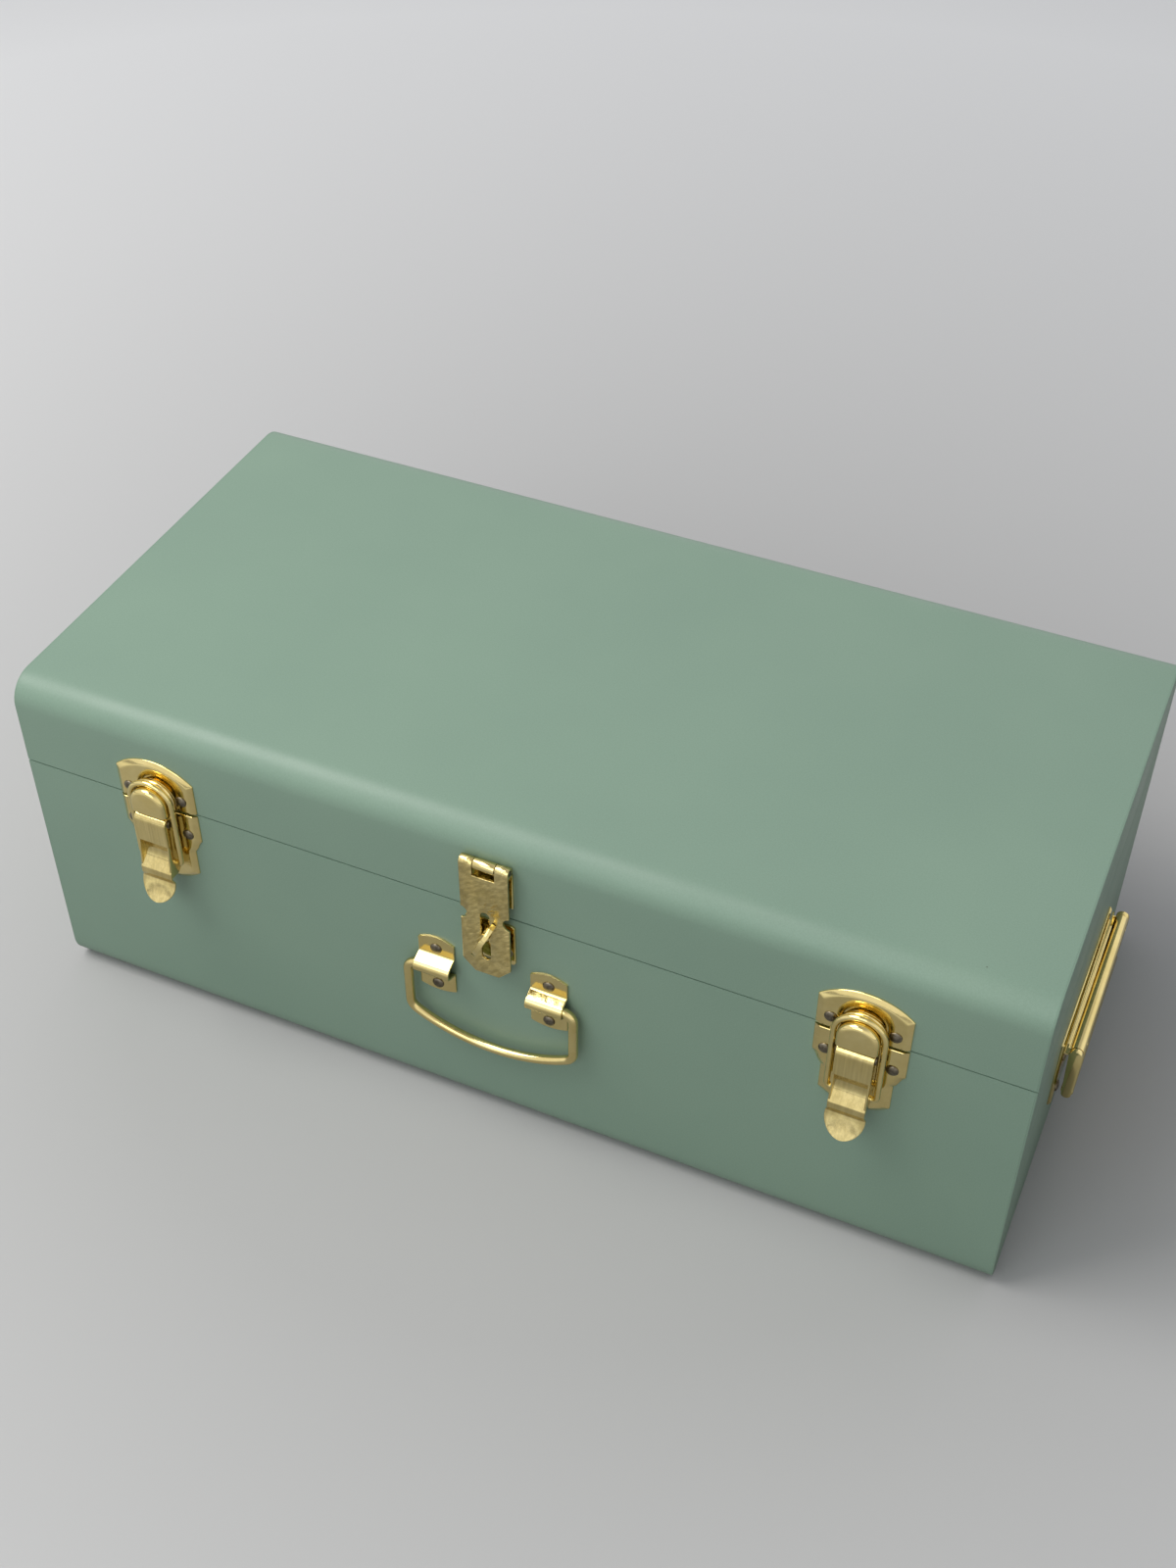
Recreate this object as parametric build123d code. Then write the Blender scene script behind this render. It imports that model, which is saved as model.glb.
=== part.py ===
from build123d import *
import math
import os

# A small steel storage trunk: a sheet base and a sheet lid, joined at the back by two hinges
# and held shut at the front by two toggle latches and a hasp. All sizes are millimetres.
# +X runs to the right, +Y to the back and +Z up. The middle of the underside is the origin.

# Sheet body
trunk_width = 500.0
trunk_depth = 248.0
trunk_height = 190.0
seam_height = 142.0
seam_gap = 0.8
edge_radius = 14.0
sheet = 0.8

# Stiffening rim inside the mouth of the base
rim_below_seam = 5.5
rim_above_seam = 4.5
rim_step = 0.5

# Rivets
rivet_head_radius = 3.0
rivet_head_height = 1.3
rivet_shank_radius = 1.6
rivet_hole_play = 0.05
rivet_tail_radius = 2.4
rivet_tail_length = 1.6

# Hinges at the back
hinge_offset = 150.0
hinge_width = 50.0
hinge_leaf_height = 24.0
hinge_leaf_thickness = 1.2
hinge_knuckle_radius = 2.8
hinge_pin_radius = 1.4
hinge_pin_play = 0.05
hinge_stand_off = 0.3
hinge_knuckles = 5
knuckle_gap = 0.4
hinge_rivet_offset = 17.0
hinge_rivet_drop = 15.0

# Toggle latches: keeper on the lid, plate, lever and wire loop on the base
latch_offset = 174.6
latch_half_width = 21.0
pan_height = 2.0
pan_bevel_width = 2.8
pan_bevel_depth = 1.6
keeper_lift = 0.8
keeper_side_rise = 18.0
keeper_crown_rise = 8.5
keeper_rivet_offset = 14.2
keeper_rivet_rise = 7.6
plate_drop = 0.8
plate_shoulder_drop = 17.5
plate_waist_length = 8.0
plate_waist_half_width = 16.4
plate_leg_length = 15.0
plate_foot_bulge = 6.5
plate_rivet_offset = 15.0
plate_rivet_drop = 13.4
latch_proud = 10.5
lever_sheet = 0.9
lever_half_width = 8.5
lever_pivot_drop = 5.1
lever_pivot_proud = 6.5
lever_pin_radius = 1.5
lever_pin_play = 0.05
lever_head_radius = 2.2
lever_head_length = 0.7
lever_wall_proud = 2.5
ear_gap = 0.4
ear_thickness = 0.9
ear_radius = 2.6
ear_root_high = 5.5
ear_root_low = 10.5
ear_high_turn = 154.5
ear_low_turn = -60.0
face_length = 12.4
dip_length = 7.0
dip_proud = 7.6
ridge_rise_length = 9.9
ridge_width = 3.4
ridge_proud = 12.4
ridge_fall = 3.2
tongue_root_proud = 11.4
tongue_length = 11.0
tongue_tip_proud = 17.0
tongue_half_width = 9.2
loop_wire_radius = 1.4
loop_half_spacing = 11.3
loop_pivot_below = 25.9
loop_proud = 6.2
loop_arch_rise = 5.9
loop_shelf_clearance = 0.4
loop_corner_radius = 2.2
loop_end_half = 6.2
keeper_edge_radius = 2.3
keeper_foot_radius = 1.6

# Hasp: a hinged strap on the lid that drops over a turning staple on the base
hasp_half_width = 12.0
hasp_axis_rise = 32.0
hasp_axis_proud = 3.1
hasp_knuckle_radius = 2.75
hasp_pin_radius = 1.3
hasp_pin_play = 0.05
hasp_middle_half = 5.2
hasp_knuckle_gap = 0.3
hasp_leaf_thickness = 1.2
hasp_leaf_length = 24.0
hasp_strap_thickness = 1.25
hasp_strap_length = 67.5
hasp_window_length = 5.7
hasp_notch_radius = 3.8
hasp_notch_rise = 1.3
hasp_notch_inset = 0.6
hasp_chamfer_across = 6.0
hasp_chamfer_up = 6.5
hasp_slot_half_width = 2.3
hasp_slot_half_length = 15.3
hasp_rivet_drop = 16.5
hasp_rivet_offset = 7.0
flat_rivet_height = 0.9

# Turning staple
staple_drop = 10.5
staple_lean = 25.0
staple_half_length = 11.0
staple_thickness = 2.2
staple_reach = 9.0
staple_hole_radius = 3.5
staple_neck_radius = 2.0
staple_neck_play = 0.05
staple_stand_off = 0.3
staple_plate_thickness = 1.3
staple_plate_half_width = 12.4
staple_plate_above = 6.5
staple_plate_below = 18.5
staple_plate_corner = 2.0
staple_collar_radius = 4.0
staple_collar_thickness = 1.0
staple_rivet_offset = 8.4
staple_rivet_drop = 11.0

# Front handle: a wire bail in two stamped brackets
bracket_offset = 28.8
bracket_half_width = 9.3
bracket_thickness = 1.2
bracket_bend_radius = 1.5
bracket_below = 18.6
bracket_above = 13.9
bracket_bulge = 3.0
bracket_foot_bulge = 1.8
bracket_rivet_above = 9.7
bracket_rivet_below = 14.0
bridge_drop = 45.4
bridge_proud = 4.6
bridge_corner_radius = 2.8
bail_wire_radius = 2.35
bail_play = 0.3
bail_half_spacing = 42.6
bail_drop = 31.5
bail_high_corner_radius = 6.0
bail_low_corner_radius = 7.0
bail_bow = 12.4
bail_end_recess = 2.5

# Side handles: a riveted plate with a rolled barrel that carries a swinging strap bail
side_half_length = 48.0
side_plate_height = 42.5
side_plate_thickness = 1.6
side_plate_bevel = 0.9
barrel_drop = 57.5
barrel_proud = 7.2
barrel_radius = 3.3
barrel_bore_radius = 2.05
barrel_half_length = 45.5
barrel_lip_proud = 2.3
barrel_lip_thickness = 0.7
barrel_lip_rise = 4.0
barrel_vent_radius = 1.3
barrel_vent_inset = 6.5
side_pin_radius = 2.0
side_pin_depth = 12.0
side_arm_gap = 0.3
side_arm_thickness = 2.6
side_arm_top_radius = 3.2
side_arm_foot_half = 2.3
side_bail_drop = 27.0
side_grip_radius = 2.9
side_rivet_across = 40.0
side_rivet_high_drop = 10.5
side_rivet_spacing = 22.0

# Worked out from the sizes above
front = -trunk_depth / 2
back = trunk_depth / 2
base_top = seam_height - seam_gap / 2
lid_low = seam_height + seam_gap / 2
wrap_length = trunk_width - 2 * sheet
rivet_hole_radius = rivet_shank_radius + rivet_hole_play

# Heights on the latches, up from the seam for the keeper and down from it for the rest
keeper_low = seam_height + keeper_lift
keeper_side_top = seam_height + keeper_side_rise
keeper_crown = keeper_side_top + keeper_crown_rise
keeper_rivet_height = seam_height + keeper_rivet_rise
plate_high = seam_height - plate_drop
plate_shoulder_height = seam_height - plate_shoulder_drop
plate_waist_height = plate_shoulder_height - plate_waist_length
plate_foot_height = plate_waist_height - plate_leg_length
plate_foot_crown = plate_foot_height - plate_foot_bulge
plate_rivet_height = seam_height - plate_rivet_drop
lever_pivot_height = seam_height - lever_pivot_drop
lever_top = lever_pivot_height + latch_proud - lever_pivot_proud
face_low = lever_pivot_height - face_length
dip_height = face_low - dip_length
ridge_top = dip_height - ridge_rise_length
ridge_low = ridge_top - ridge_width
tongue_root_height = ridge_low - ridge_fall
tongue_tip_height = tongue_root_height - tongue_length
loop_pivot_height = lever_pivot_height - loop_pivot_below
loop_arch_centre = seam_height + loop_arch_rise

# Heights on the hasp and its staple
hasp_axis_height = seam_height + hasp_axis_rise
hasp_leaf_low = hasp_axis_height - hasp_leaf_length
hasp_strap_low = hasp_axis_height - hasp_strap_length
hasp_window_low = hasp_axis_height - hasp_window_length
hasp_notch_height = seam_height + hasp_notch_rise
hasp_rivet_height = hasp_axis_height - hasp_rivet_drop
staple_height = seam_height - staple_drop
staple_plate_high = staple_height + staple_plate_above
staple_plate_low = staple_height - staple_plate_below

# Heights on the handles
bridge_height = seam_height - bridge_drop
bracket_low = bridge_height - bracket_below
bracket_side_top = bridge_height + bracket_above
bracket_crown = bracket_side_top + bracket_bulge
bracket_rivet_high = bridge_height + bracket_rivet_above
bracket_rivet_low = bridge_height - bracket_rivet_below
barrel_height = seam_height - barrel_drop
side_plate_high = barrel_height + barrel_lip_rise
side_plate_low = side_plate_high - side_plate_height
side_rivet_high = barrel_height - side_rivet_high_drop
side_rivet_low = side_rivet_high - side_rivet_spacing

# Distances across and out that follow from the sizes above
keeper_shelf_radius = loop_half_spacing - loop_wire_radius - loop_shelf_clearance
hinge_axis_proud = hinge_knuckle_radius + hinge_stand_off
strap_outer = hasp_axis_proud + hasp_knuckle_radius
strap_inner = strap_outer - hasp_strap_thickness
bridge_radius = bail_wire_radius + bail_play + bracket_thickness
lever_wall_inner = lever_half_width - lever_sheet
ear_outer = lever_wall_inner - ear_gap
arm_inner = barrel_half_length + side_arm_gap

# Hardware is drawn in face coordinates (across, up, proud) and then laid on its wall
front_face = Plane(origin=(0, front, 0), x_dir=(1, 0, 0), z_dir=(0, -1, 0))
back_face = Plane(origin=(0, back, 0), x_dir=(-1, 0, 0), z_dir=(0, 1, 0))
right_face = Plane(origin=(trunk_width / 2, 0, 0), x_dir=(0, 1, 0), z_dir=(1, 0, 0))
left_face = Plane(origin=(-trunk_width / 2, 0, 0), x_dir=(0, -1, 0), z_dir=(-1, 0, 0))
sides = (("left", -1), ("right", 1))

nodes = {}


def keep(name, shape):
    """Stores one sub-part, whole or as a group of separate solids, under its name."""
    nodes[name] = shape


def outline(points, *arcs):
    """A closed face in (across, up) through the points; an arc is given by three of them."""
    edges = []
    for start, end in zip(points, points[1:] + points[:1]):
        edges.append(arcs_between(start, end, arcs))
    return make_face(edges)


def arcs_between(start, end, arcs):
    """The arc that joins two corners if one was asked for, else the straight line."""
    for first, middle, last in arcs:
        if first == start and last == end:
            return ThreePointArc(first, middle, last)
    return Line(start, end)


def raised(face, low, high):
    """Gives a face drawn in (across, up) thickness between two distances from the wall."""
    return Pos(0, 0, low) * extrude(face, amount=high - low, dir=(0, 0, 1))


def slab(across, up, proud):
    """A square-cornered block between pairs of limits in (across, up, proud)."""
    block = Box(across[1] - across[0], up[1] - up[0], proud[1] - proud[0])
    return Pos(sum(across) / 2, sum(up) / 2, sum(proud) / 2) * block


def post(across, up, radius, proud):
    """A round disc, post or bore that stands out of the wall."""
    return Pos(across, up, sum(proud) / 2) * Cylinder(radius, proud[1] - proud[0])


def rod(across, up, proud, radius):
    """A round rod or bore that lies along the wall."""
    turned = Rot(0, 90, 0) * Cylinder(radius, across[1] - across[0])
    return Pos(sum(across) / 2, up, proud) * turned


def along(face, across):
    """Pulls a section drawn in (proud, up) along the wall between two places."""
    plane = Plane(origin=(across[0], 0, 0), x_dir=(0, 0, 1), z_dir=(-1, 0, 0))
    return extrude(plane * face, amount=across[1] - across[0], dir=(1, 0, 0))


def wire_rod(path, radius):
    """Round wire that follows a path, starting square to it."""
    return sweep(Plane(origin=path @ 0, z_dir=path % 0) * Circle(radius), path=path)


def shifted(shape, across):
    """The same shape moved sideways along the wall."""
    return Pos(across, 0, 0) * shape


def grouped(solids):
    """Several separate solids kept together as one group."""
    return Compound(children=[piece for solid in solids for piece in solid.solids()])


def rivet(across, up, seat, head_height, grip):
    """A domed rivet whose head sits at one distance from the wall and whose tail sits behind."""
    shank = post(across, up, rivet_shank_radius, (-grip - rivet_tail_length, seat))
    tail = post(across, up, rivet_tail_radius, (-grip - rivet_tail_length, -grip))
    ball_radius = (rivet_head_radius**2 + head_height**2) / (2 * head_height)
    ball = Pos(across, up, seat + head_height - ball_radius) * Sphere(ball_radius)
    dome = ball & post(across, up, rivet_head_radius + 1, (seat, seat + head_height + 1))
    return dome + shank + tail


def rivet_bores(places, proud):
    """The holes for a set of rivets, a little wider than their shanks."""
    bores = Part()
    for across, up in places:
        bores += post(across, up, rivet_hole_radius, proud)
    return bores


# Places of the rivets, in (across, up) of the wall they hold to
latch_centres = (-latch_offset, latch_offset)
hinge_centres = (-hinge_offset, hinge_offset)
bracket_centres = (-bracket_offset, bracket_offset)
keeper_rivets = [(c + s * keeper_rivet_offset, keeper_rivet_height) for c in latch_centres for s in (-1, 1)]
plate_rivets = [(c + s * plate_rivet_offset, plate_rivet_height) for c in latch_centres for s in (-1, 1)]
leaf_rivets = [(s * hasp_rivet_offset, hasp_rivet_height) for s in (-1, 1)]
staple_rivets = [(s * staple_rivet_offset, staple_height - staple_rivet_drop) for s in (-1, 1)]
bracket_rivets = [(c, up) for c in bracket_centres for up in (bracket_rivet_low, bracket_rivet_high)]
hinge_base_rivets = [
    (c + s * hinge_rivet_offset, seam_height - hinge_rivet_drop) for c in hinge_centres for s in (-1, 1)
]
hinge_lid_rivets = [
    (c + s * hinge_rivet_offset, seam_height + hinge_rivet_drop) for c in hinge_centres for s in (-1, 1)
]
side_rivets = [(s * side_rivet_across, up) for s in (-1, 1) for up in (side_rivet_low, side_rivet_high)]
through_sheet = (-3 * sheet, sheet)


# Sheet body: the base
def base_profile():
    """The outside of the base seen from its end, with the two lower edges rounded."""
    low_front = (front + edge_radius, 0)
    low_back = (back - edge_radius, 0)
    lean = edge_radius * (1 - math.sqrt(0.5))
    return outline(
        [(front, base_top), (front, edge_radius), low_front, low_back, (back, edge_radius), (back, base_top)],
        ((front, edge_radius), (front + lean, lean), low_front),
        (low_back, (back - lean, lean), (back, edge_radius)),
    )


def lid_profile():
    """The outside of the lid seen from its end, with the two upper edges rounded."""
    high_front = (front + edge_radius, trunk_height)
    high_back = (back - edge_radius, trunk_height)
    shoulder = trunk_height - edge_radius
    lean = edge_radius * (1 - math.sqrt(0.5))
    return outline(
        [(front, lid_low), (front, shoulder), high_front, high_back, (back, shoulder), (back, lid_low)],
        ((front, shoulder), (front + lean, trunk_height - lean), high_front),
        (high_back, (back - lean, trunk_height - lean), (back, shoulder)),
    )


def end_plane(place):
    """The plane of a section across the trunk, with the depth along and the height up."""
    return Plane(origin=(place, 0, 0), x_dir=(0, 1, 0), z_dir=(1, 0, 0))


def wrapped_sheet(profile, mouth):
    """The sheet bent round a profile: a solid bar of it less the same bar one sheet smaller."""
    inner = offset(profile, amount=-sheet, kind=Kind.ARC)
    bar = extrude(end_plane(-wrap_length / 2) * profile, amount=wrap_length, dir=(1, 0, 0))
    room = extrude(end_plane(-trunk_width / 2) * inner, amount=trunk_width, dir=(1, 0, 0))
    open_mouth = Box(trunk_width, trunk_depth - 2 * sheet, 4 * sheet)
    return bar - room - Pos(0, 0, mouth) * open_mouth


def end_panel(profile, side):
    """The flat panel that closes one end, laid against the edges of the bent sheet."""
    inner_face = side * wrap_length / 2
    return extrude(end_plane(inner_face) * profile, amount=sheet, dir=(side, 0, 0))


base_holes = front_face * rivet_bores(plate_rivets + staple_rivets + bracket_rivets, through_sheet)
base_holes += front_face * post(0, staple_height, staple_neck_radius + staple_neck_play, through_sheet)
base_holes += back_face * rivet_bores(hinge_base_rivets, through_sheet)
base_shell = wrapped_sheet(base_profile(), base_top) - base_holes
keep("base_shell", base_shell)
for side_name, side in sides:
    wall = right_face if side > 0 else left_face
    panel = end_panel(base_profile(), side) - wall * rivet_bores(side_rivets, through_sheet)
    keep("base_end_" + side_name, panel)

lid_holes = front_face * rivet_bores(keeper_rivets + leaf_rivets, through_sheet)
lid_holes += back_face * rivet_bores(hinge_lid_rivets, through_sheet)
keep("lid_shell", wrapped_sheet(lid_profile(), lid_low) - lid_holes)
for side_name, side in sides:
    keep("lid_end_" + side_name, end_panel(lid_profile(), side))


# Sheet body: the rim inside the mouth
def base_rim():
    """A ring that lines the mouth of the base and steps inward where the lid comes down over it."""
    inside_width = wrap_length
    inside_depth = trunk_depth - 2 * sheet
    low = seam_height - rim_below_seam
    high = seam_height + rim_above_seam
    wall = rim_step + sheet
    lower = Box(inside_width, inside_depth, base_top - low)
    upper = Box(inside_width - 2 * rim_step, inside_depth - 2 * rim_step, high - base_top)
    upper = fillet(upper.edges().filter_by(Axis.Z), sheet)
    room = Box(inside_width - 2 * wall, inside_depth - 2 * wall, 2 * trunk_height)
    ring = Pos(0, 0, (low + base_top) / 2) * lower + Pos(0, 0, (base_top + high) / 2) * upper
    return ring - room


keep("base_rim", base_rim())


# Hinges at the back
def knuckle_spans(first, count):
    """The stretches along the hinge that belong to every second knuckle."""
    pitch = hinge_width / hinge_knuckles
    spans = []
    for number in range(first, count, 2):
        start = -hinge_width / 2 + number * pitch
        low = start + (knuckle_gap / 2 if number > 0 else 0)
        high = start + pitch - (knuckle_gap / 2 if number < hinge_knuckles - 1 else 0)
        spans.append((low, high))
    return spans


def hinge_leaf(direction, own_spans, bore_radius):
    """One leaf: a plate on the wall, cut back round the other leaf's knuckles, with its own."""
    edge = seam_height + direction * hinge_leaf_height
    clear = seam_height + direction * (hinge_knuckle_radius + knuckle_gap)
    plate = slab((-hinge_width / 2, hinge_width / 2), sorted((edge, clear)), (0, hinge_leaf_thickness))
    corners = plate.edges().filter_by(Axis.Z).group_by(Axis.Y)[0 if direction < 0 else -1]
    leaf = fillet(corners, 3)
    for span in own_spans:
        leaf += slab(span, sorted((clear, seam_height)), (0, hinge_leaf_thickness))
        leaf += rod(span, seam_height, hinge_axis_proud, hinge_knuckle_radius)
    leaf -= rod((-hinge_width, hinge_width), seam_height, hinge_axis_proud, bore_radius)
    places = [(s * hinge_rivet_offset, seam_height + direction * hinge_rivet_drop) for s in (-1, 1)]
    return leaf - rivet_bores(places, (-sheet, 2 * hinge_leaf_thickness))


for side_name, side in sides:
    centre = -side * hinge_offset
    bore = hinge_pin_radius + hinge_pin_play
    base_leaf = hinge_leaf(-1, knuckle_spans(0, hinge_knuckles), bore)
    lid_leaf = hinge_leaf(1, knuckle_spans(1, hinge_knuckles), bore)
    pin = rod((-hinge_width / 2, hinge_width / 2), seam_height, hinge_axis_proud, hinge_pin_radius)
    keep("hinge_base_leaf_" + side_name, back_face * shifted(base_leaf, centre))
    keep("hinge_lid_leaf_" + side_name, back_face * shifted(lid_leaf, centre))
    keep("hinge_pin_" + side_name, back_face * shifted(pin, centre))

for name, places in (("hinge_base_rivets", hinge_base_rivets), ("hinge_lid_rivets", hinge_lid_rivets)):
    solids = [back_face * rivet(a, up, hinge_leaf_thickness, flat_rivet_height, sheet) for a, up in places]
    keep(name, grouped(solids))


# Toggle latches
def pressed_pan(face, flat_edge):
    """A pressed plate: a raised flat with sloping sides all round except at its straight edge."""
    pan = raised(face, 0, pan_height)
    top_edges = pan.faces().sort_by(Axis.Z)[-1].edges()
    sloped = [e for e in top_edges if abs(e.center().Y - flat_edge) > 0.01]
    reference = pan.faces().sort_by(Axis.Z)[-1]
    return chamfer(sloped, length=pan_bevel_width, length2=pan_bevel_depth, reference=reference)


def latch_keeper():
    """The keeper on the lid: an arched pan with the boss that the wire loop pulls against."""
    half = latch_half_width
    face = outline(
        [(-half, keeper_low), (-half, keeper_side_top), (half, keeper_side_top), (half, keeper_low)],
        ((-half, keeper_side_top), (0, keeper_crown), (half, keeper_side_top)),
    )
    plate = pressed_pan(face, keeper_low)
    shelf = keeper_shelf_radius
    boss_face = outline(
        [(-shelf, keeper_low), (-shelf, loop_arch_centre), (shelf, loop_arch_centre), (shelf, keeper_low)],
        ((-shelf, loop_arch_centre), (0, loop_arch_centre + shelf), (shelf, loop_arch_centre)),
    )
    boss = raised(boss_face, pan_height / 2, latch_proud)
    rim = boss.faces().sort_by(Axis.Z)[-1].edges()
    boss = fillet([e for e in rim if e.center().Y > keeper_low + 0.01], keeper_edge_radius)
    keeper = plate + boss
    foot = keeper.edges().filter_by(lambda e: abs(e.bounding_box().max.Z - pan_height) < 0.01)
    foot = foot.filter_by(lambda e: abs(e.bounding_box().min.Z - pan_height) < 0.01)
    foot = foot.filter_by(lambda e: abs(e.center().X) < shelf + 0.1)
    foot = foot.filter_by(lambda e: keeper_low + 0.01 < e.center().Y < loop_arch_centre + shelf + 0.1)
    keeper = fillet(foot, keeper_foot_radius)
    places = [(s * keeper_rivet_offset, keeper_rivet_height) for s in (-1, 1)]
    return keeper - rivet_bores(places, (-sheet, 2 * pan_height))


def latch_plate():
    """The plate on the base: a waisted pan with two ears that carry the lever's pin."""
    half = latch_half_width
    waist = plate_waist_half_width
    upper = (plate_shoulder_height + plate_waist_height) / 2
    middle = (half + waist) / 2
    turn = (half - waist) * 0.2
    rise = (plate_shoulder_height - plate_waist_height) * 0.25
    face = outline(
        [
            (-half, plate_high),
            (-half, plate_shoulder_height),
            (-middle, upper),
            (-waist, plate_waist_height),
            (-waist, plate_foot_height),
            (waist, plate_foot_height),
            (waist, plate_waist_height),
            (middle, upper),
            (half, plate_shoulder_height),
            (half, plate_high),
        ],
        ((-half, plate_shoulder_height), (-middle - turn, upper + rise), (-middle, upper)),
        ((-middle, upper), (-middle + turn, upper - rise), (-waist, plate_waist_height)),
        ((-waist, plate_foot_height), (0, plate_foot_crown), (waist, plate_foot_height)),
        ((waist, plate_waist_height), (middle - turn, upper - rise), (middle, upper)),
        ((middle, upper), (middle + turn, upper + rise), (half, plate_shoulder_height)),
    )
    plate = pressed_pan(face, plate_high)
    for side in (-1, 1):
        across = sorted((side * ear_outer, side * (ear_outer - ear_thickness)))
        plate += along(ear_section(), across)
        plate += rod(across, lever_pivot_height, lever_pivot_proud, ear_radius)
    plate -= rod((-half, half), lever_pivot_height, lever_pivot_proud, lever_pin_radius + lever_pin_play)
    places = [(s * plate_rivet_offset, plate_rivet_height) for s in (-1, 1)]
    return plate - rivet_bores(places, (-sheet, 2 * pan_height))


def ear_section():
    """The neck of an ear, leaning down from the pin so that the lever's top can pass over it."""
    high, low = [
        (
            lever_pivot_proud + ear_radius * math.cos(math.radians(turn)),
            lever_pivot_height + ear_radius * math.sin(math.radians(turn)),
        )
        for turn in (ear_high_turn, ear_low_turn)
    ]
    root_high = (pan_height / 2, lever_pivot_height - ear_root_high)
    root_low = (pan_height / 2, lever_pivot_height - ear_root_low)
    return outline([high, root_high, root_low, low])


def lever_sheet_section():
    """The bent sheet of the lever from its rounded top, down its face and dip, to the tongue."""
    line = FilletPolyline(
        (lever_pivot_proud, lever_top),
        (latch_proud, lever_top),
        (latch_proud, face_low),
        (dip_proud, dip_height),
        (ridge_proud, ridge_top),
        (ridge_proud, ridge_low),
        (tongue_root_proud, tongue_root_height),
        (tongue_tip_proud, tongue_tip_height),
        radius=[latch_proud - lever_pivot_proud - 0.01, 1.2, 3.0, 1.5, 0.8, 1.0],
    )
    return make_face(offset(line, amount=lever_sheet, side=Side.RIGHT).edges())


def latch_lever():
    """The lever: the bent face sheet between two side walls, with bores for the pin and the loop."""
    tip = tongue_half_width
    half = lever_half_width
    round_start = tongue_tip_height + tip
    shape = outline(
        [
            (-half, lever_top + 1),
            (-half, ridge_low - 1.5),
            (-tip, ridge_low - 3.5),
            (-tip, round_start),
            (tip, round_start),
            (tip, ridge_low - 3.5),
            (half, ridge_low - 1.5),
            (half, lever_top + 1),
        ],
        ((-tip, round_start), (0, tongue_tip_height), (tip, round_start)),
    )
    lever = along(lever_sheet_section(), (-tip, tip)) & raised(shape, 0, 2 * tongue_tip_proud)
    arc_radius = latch_proud - lever_pivot_proud
    wall = outline(
        [
            (lever_wall_proud, lever_pivot_height),
            (latch_proud, lever_pivot_height),
            (latch_proud, face_low),
            (ridge_proud - 0.5, ridge_top),
            (ridge_proud - 0.5, ridge_low + 0.4),
            (lever_wall_proud + 3.5, ridge_low),
            (lever_wall_proud, ridge_top - 0.6),
        ],
        (
            (lever_wall_proud, lever_pivot_height),
            (lever_pivot_proud, lever_pivot_height + arc_radius),
            (latch_proud, lever_pivot_height),
        ),
    )
    for side in (-1, 1):
        lever += along(wall, sorted((side * half, side * lever_wall_inner)))
    bore = lever_pin_radius + lever_pin_play
    lever -= rod((-2 * tip, 2 * tip), lever_pivot_height, lever_pivot_proud, bore)
    return lever - rod((-2 * tip, 2 * tip), loop_pivot_height, loop_proud, loop_wire_radius + lever_pin_play)


def latch_pin():
    """The lever's pin with a flat head outside each side wall."""
    reach = lever_half_width + lever_pin_play + 0.05
    pin = rod((-reach, reach), lever_pivot_height, lever_pivot_proud, lever_pin_radius)
    for side in (-1, 1):
        across = sorted((side * reach, side * (reach + lever_head_length)))
        pin += rod(across, lever_pivot_height, lever_pivot_proud, lever_head_radius)
    return pin


def latch_loop():
    """The wire loop: up both sides of the lever, over the boss, and turned in at its two ends."""
    side = loop_half_spacing
    turned = loop_corner_radius
    left_bend = FilletPolyline(
        (-loop_end_half, loop_pivot_height, loop_proud),
        (-side, loop_pivot_height, loop_proud),
        (-side, loop_arch_centre, loop_proud),
        radius=turned,
    )
    arch = ThreePointArc(
        (-side, loop_arch_centre, loop_proud),
        (0, loop_arch_centre + side, loop_proud),
        (side, loop_arch_centre, loop_proud),
    )
    right_bend = FilletPolyline(
        (side, loop_arch_centre, loop_proud),
        (side, loop_pivot_height, loop_proud),
        (loop_end_half, loop_pivot_height, loop_proud),
        radius=turned,
    )
    return wire_rod(Wire(left_bend.edges() + arch.edges() + right_bend.edges()), loop_wire_radius)


for side_name, side in sides:
    centre = side * latch_offset
    keep("latch_keeper_" + side_name, front_face * shifted(latch_keeper(), centre))
    keep("latch_plate_" + side_name, front_face * shifted(latch_plate(), centre))
    keep("latch_lever_" + side_name, front_face * shifted(latch_lever(), centre))
    keep("latch_pin_" + side_name, front_face * shifted(latch_pin(), centre))
    keep("latch_loop_" + side_name, front_face * shifted(latch_loop(), centre))

for name, places in (("latch_keeper_rivets", keeper_rivets), ("latch_plate_rivets", plate_rivets)):
    solids = [front_face * rivet(a, up, pan_height, rivet_head_height, sheet) for a, up in places]
    keep(name, grouped(solids))


# Hasp
def hasp_leaf():
    """The leaf riveted to the lid under the strap, with the middle knuckle."""
    clear = hasp_axis_height - hasp_knuckle_radius - hasp_knuckle_gap
    half = hasp_half_width
    middle = (-hasp_middle_half, hasp_middle_half)
    leaf = slab((-half, half), (hasp_leaf_low, clear), (0, hasp_leaf_thickness))
    leaf += slab(middle, (clear, hasp_axis_height), (0, hasp_leaf_thickness))
    leaf += rod(middle, hasp_axis_height, hasp_axis_proud, hasp_knuckle_radius)
    leaf -= rod((-half, half), hasp_axis_height, hasp_axis_proud, hasp_pin_radius + hasp_pin_play)
    return leaf - rivet_bores(leaf_rivets, (-sheet, 2 * hasp_leaf_thickness))


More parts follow.
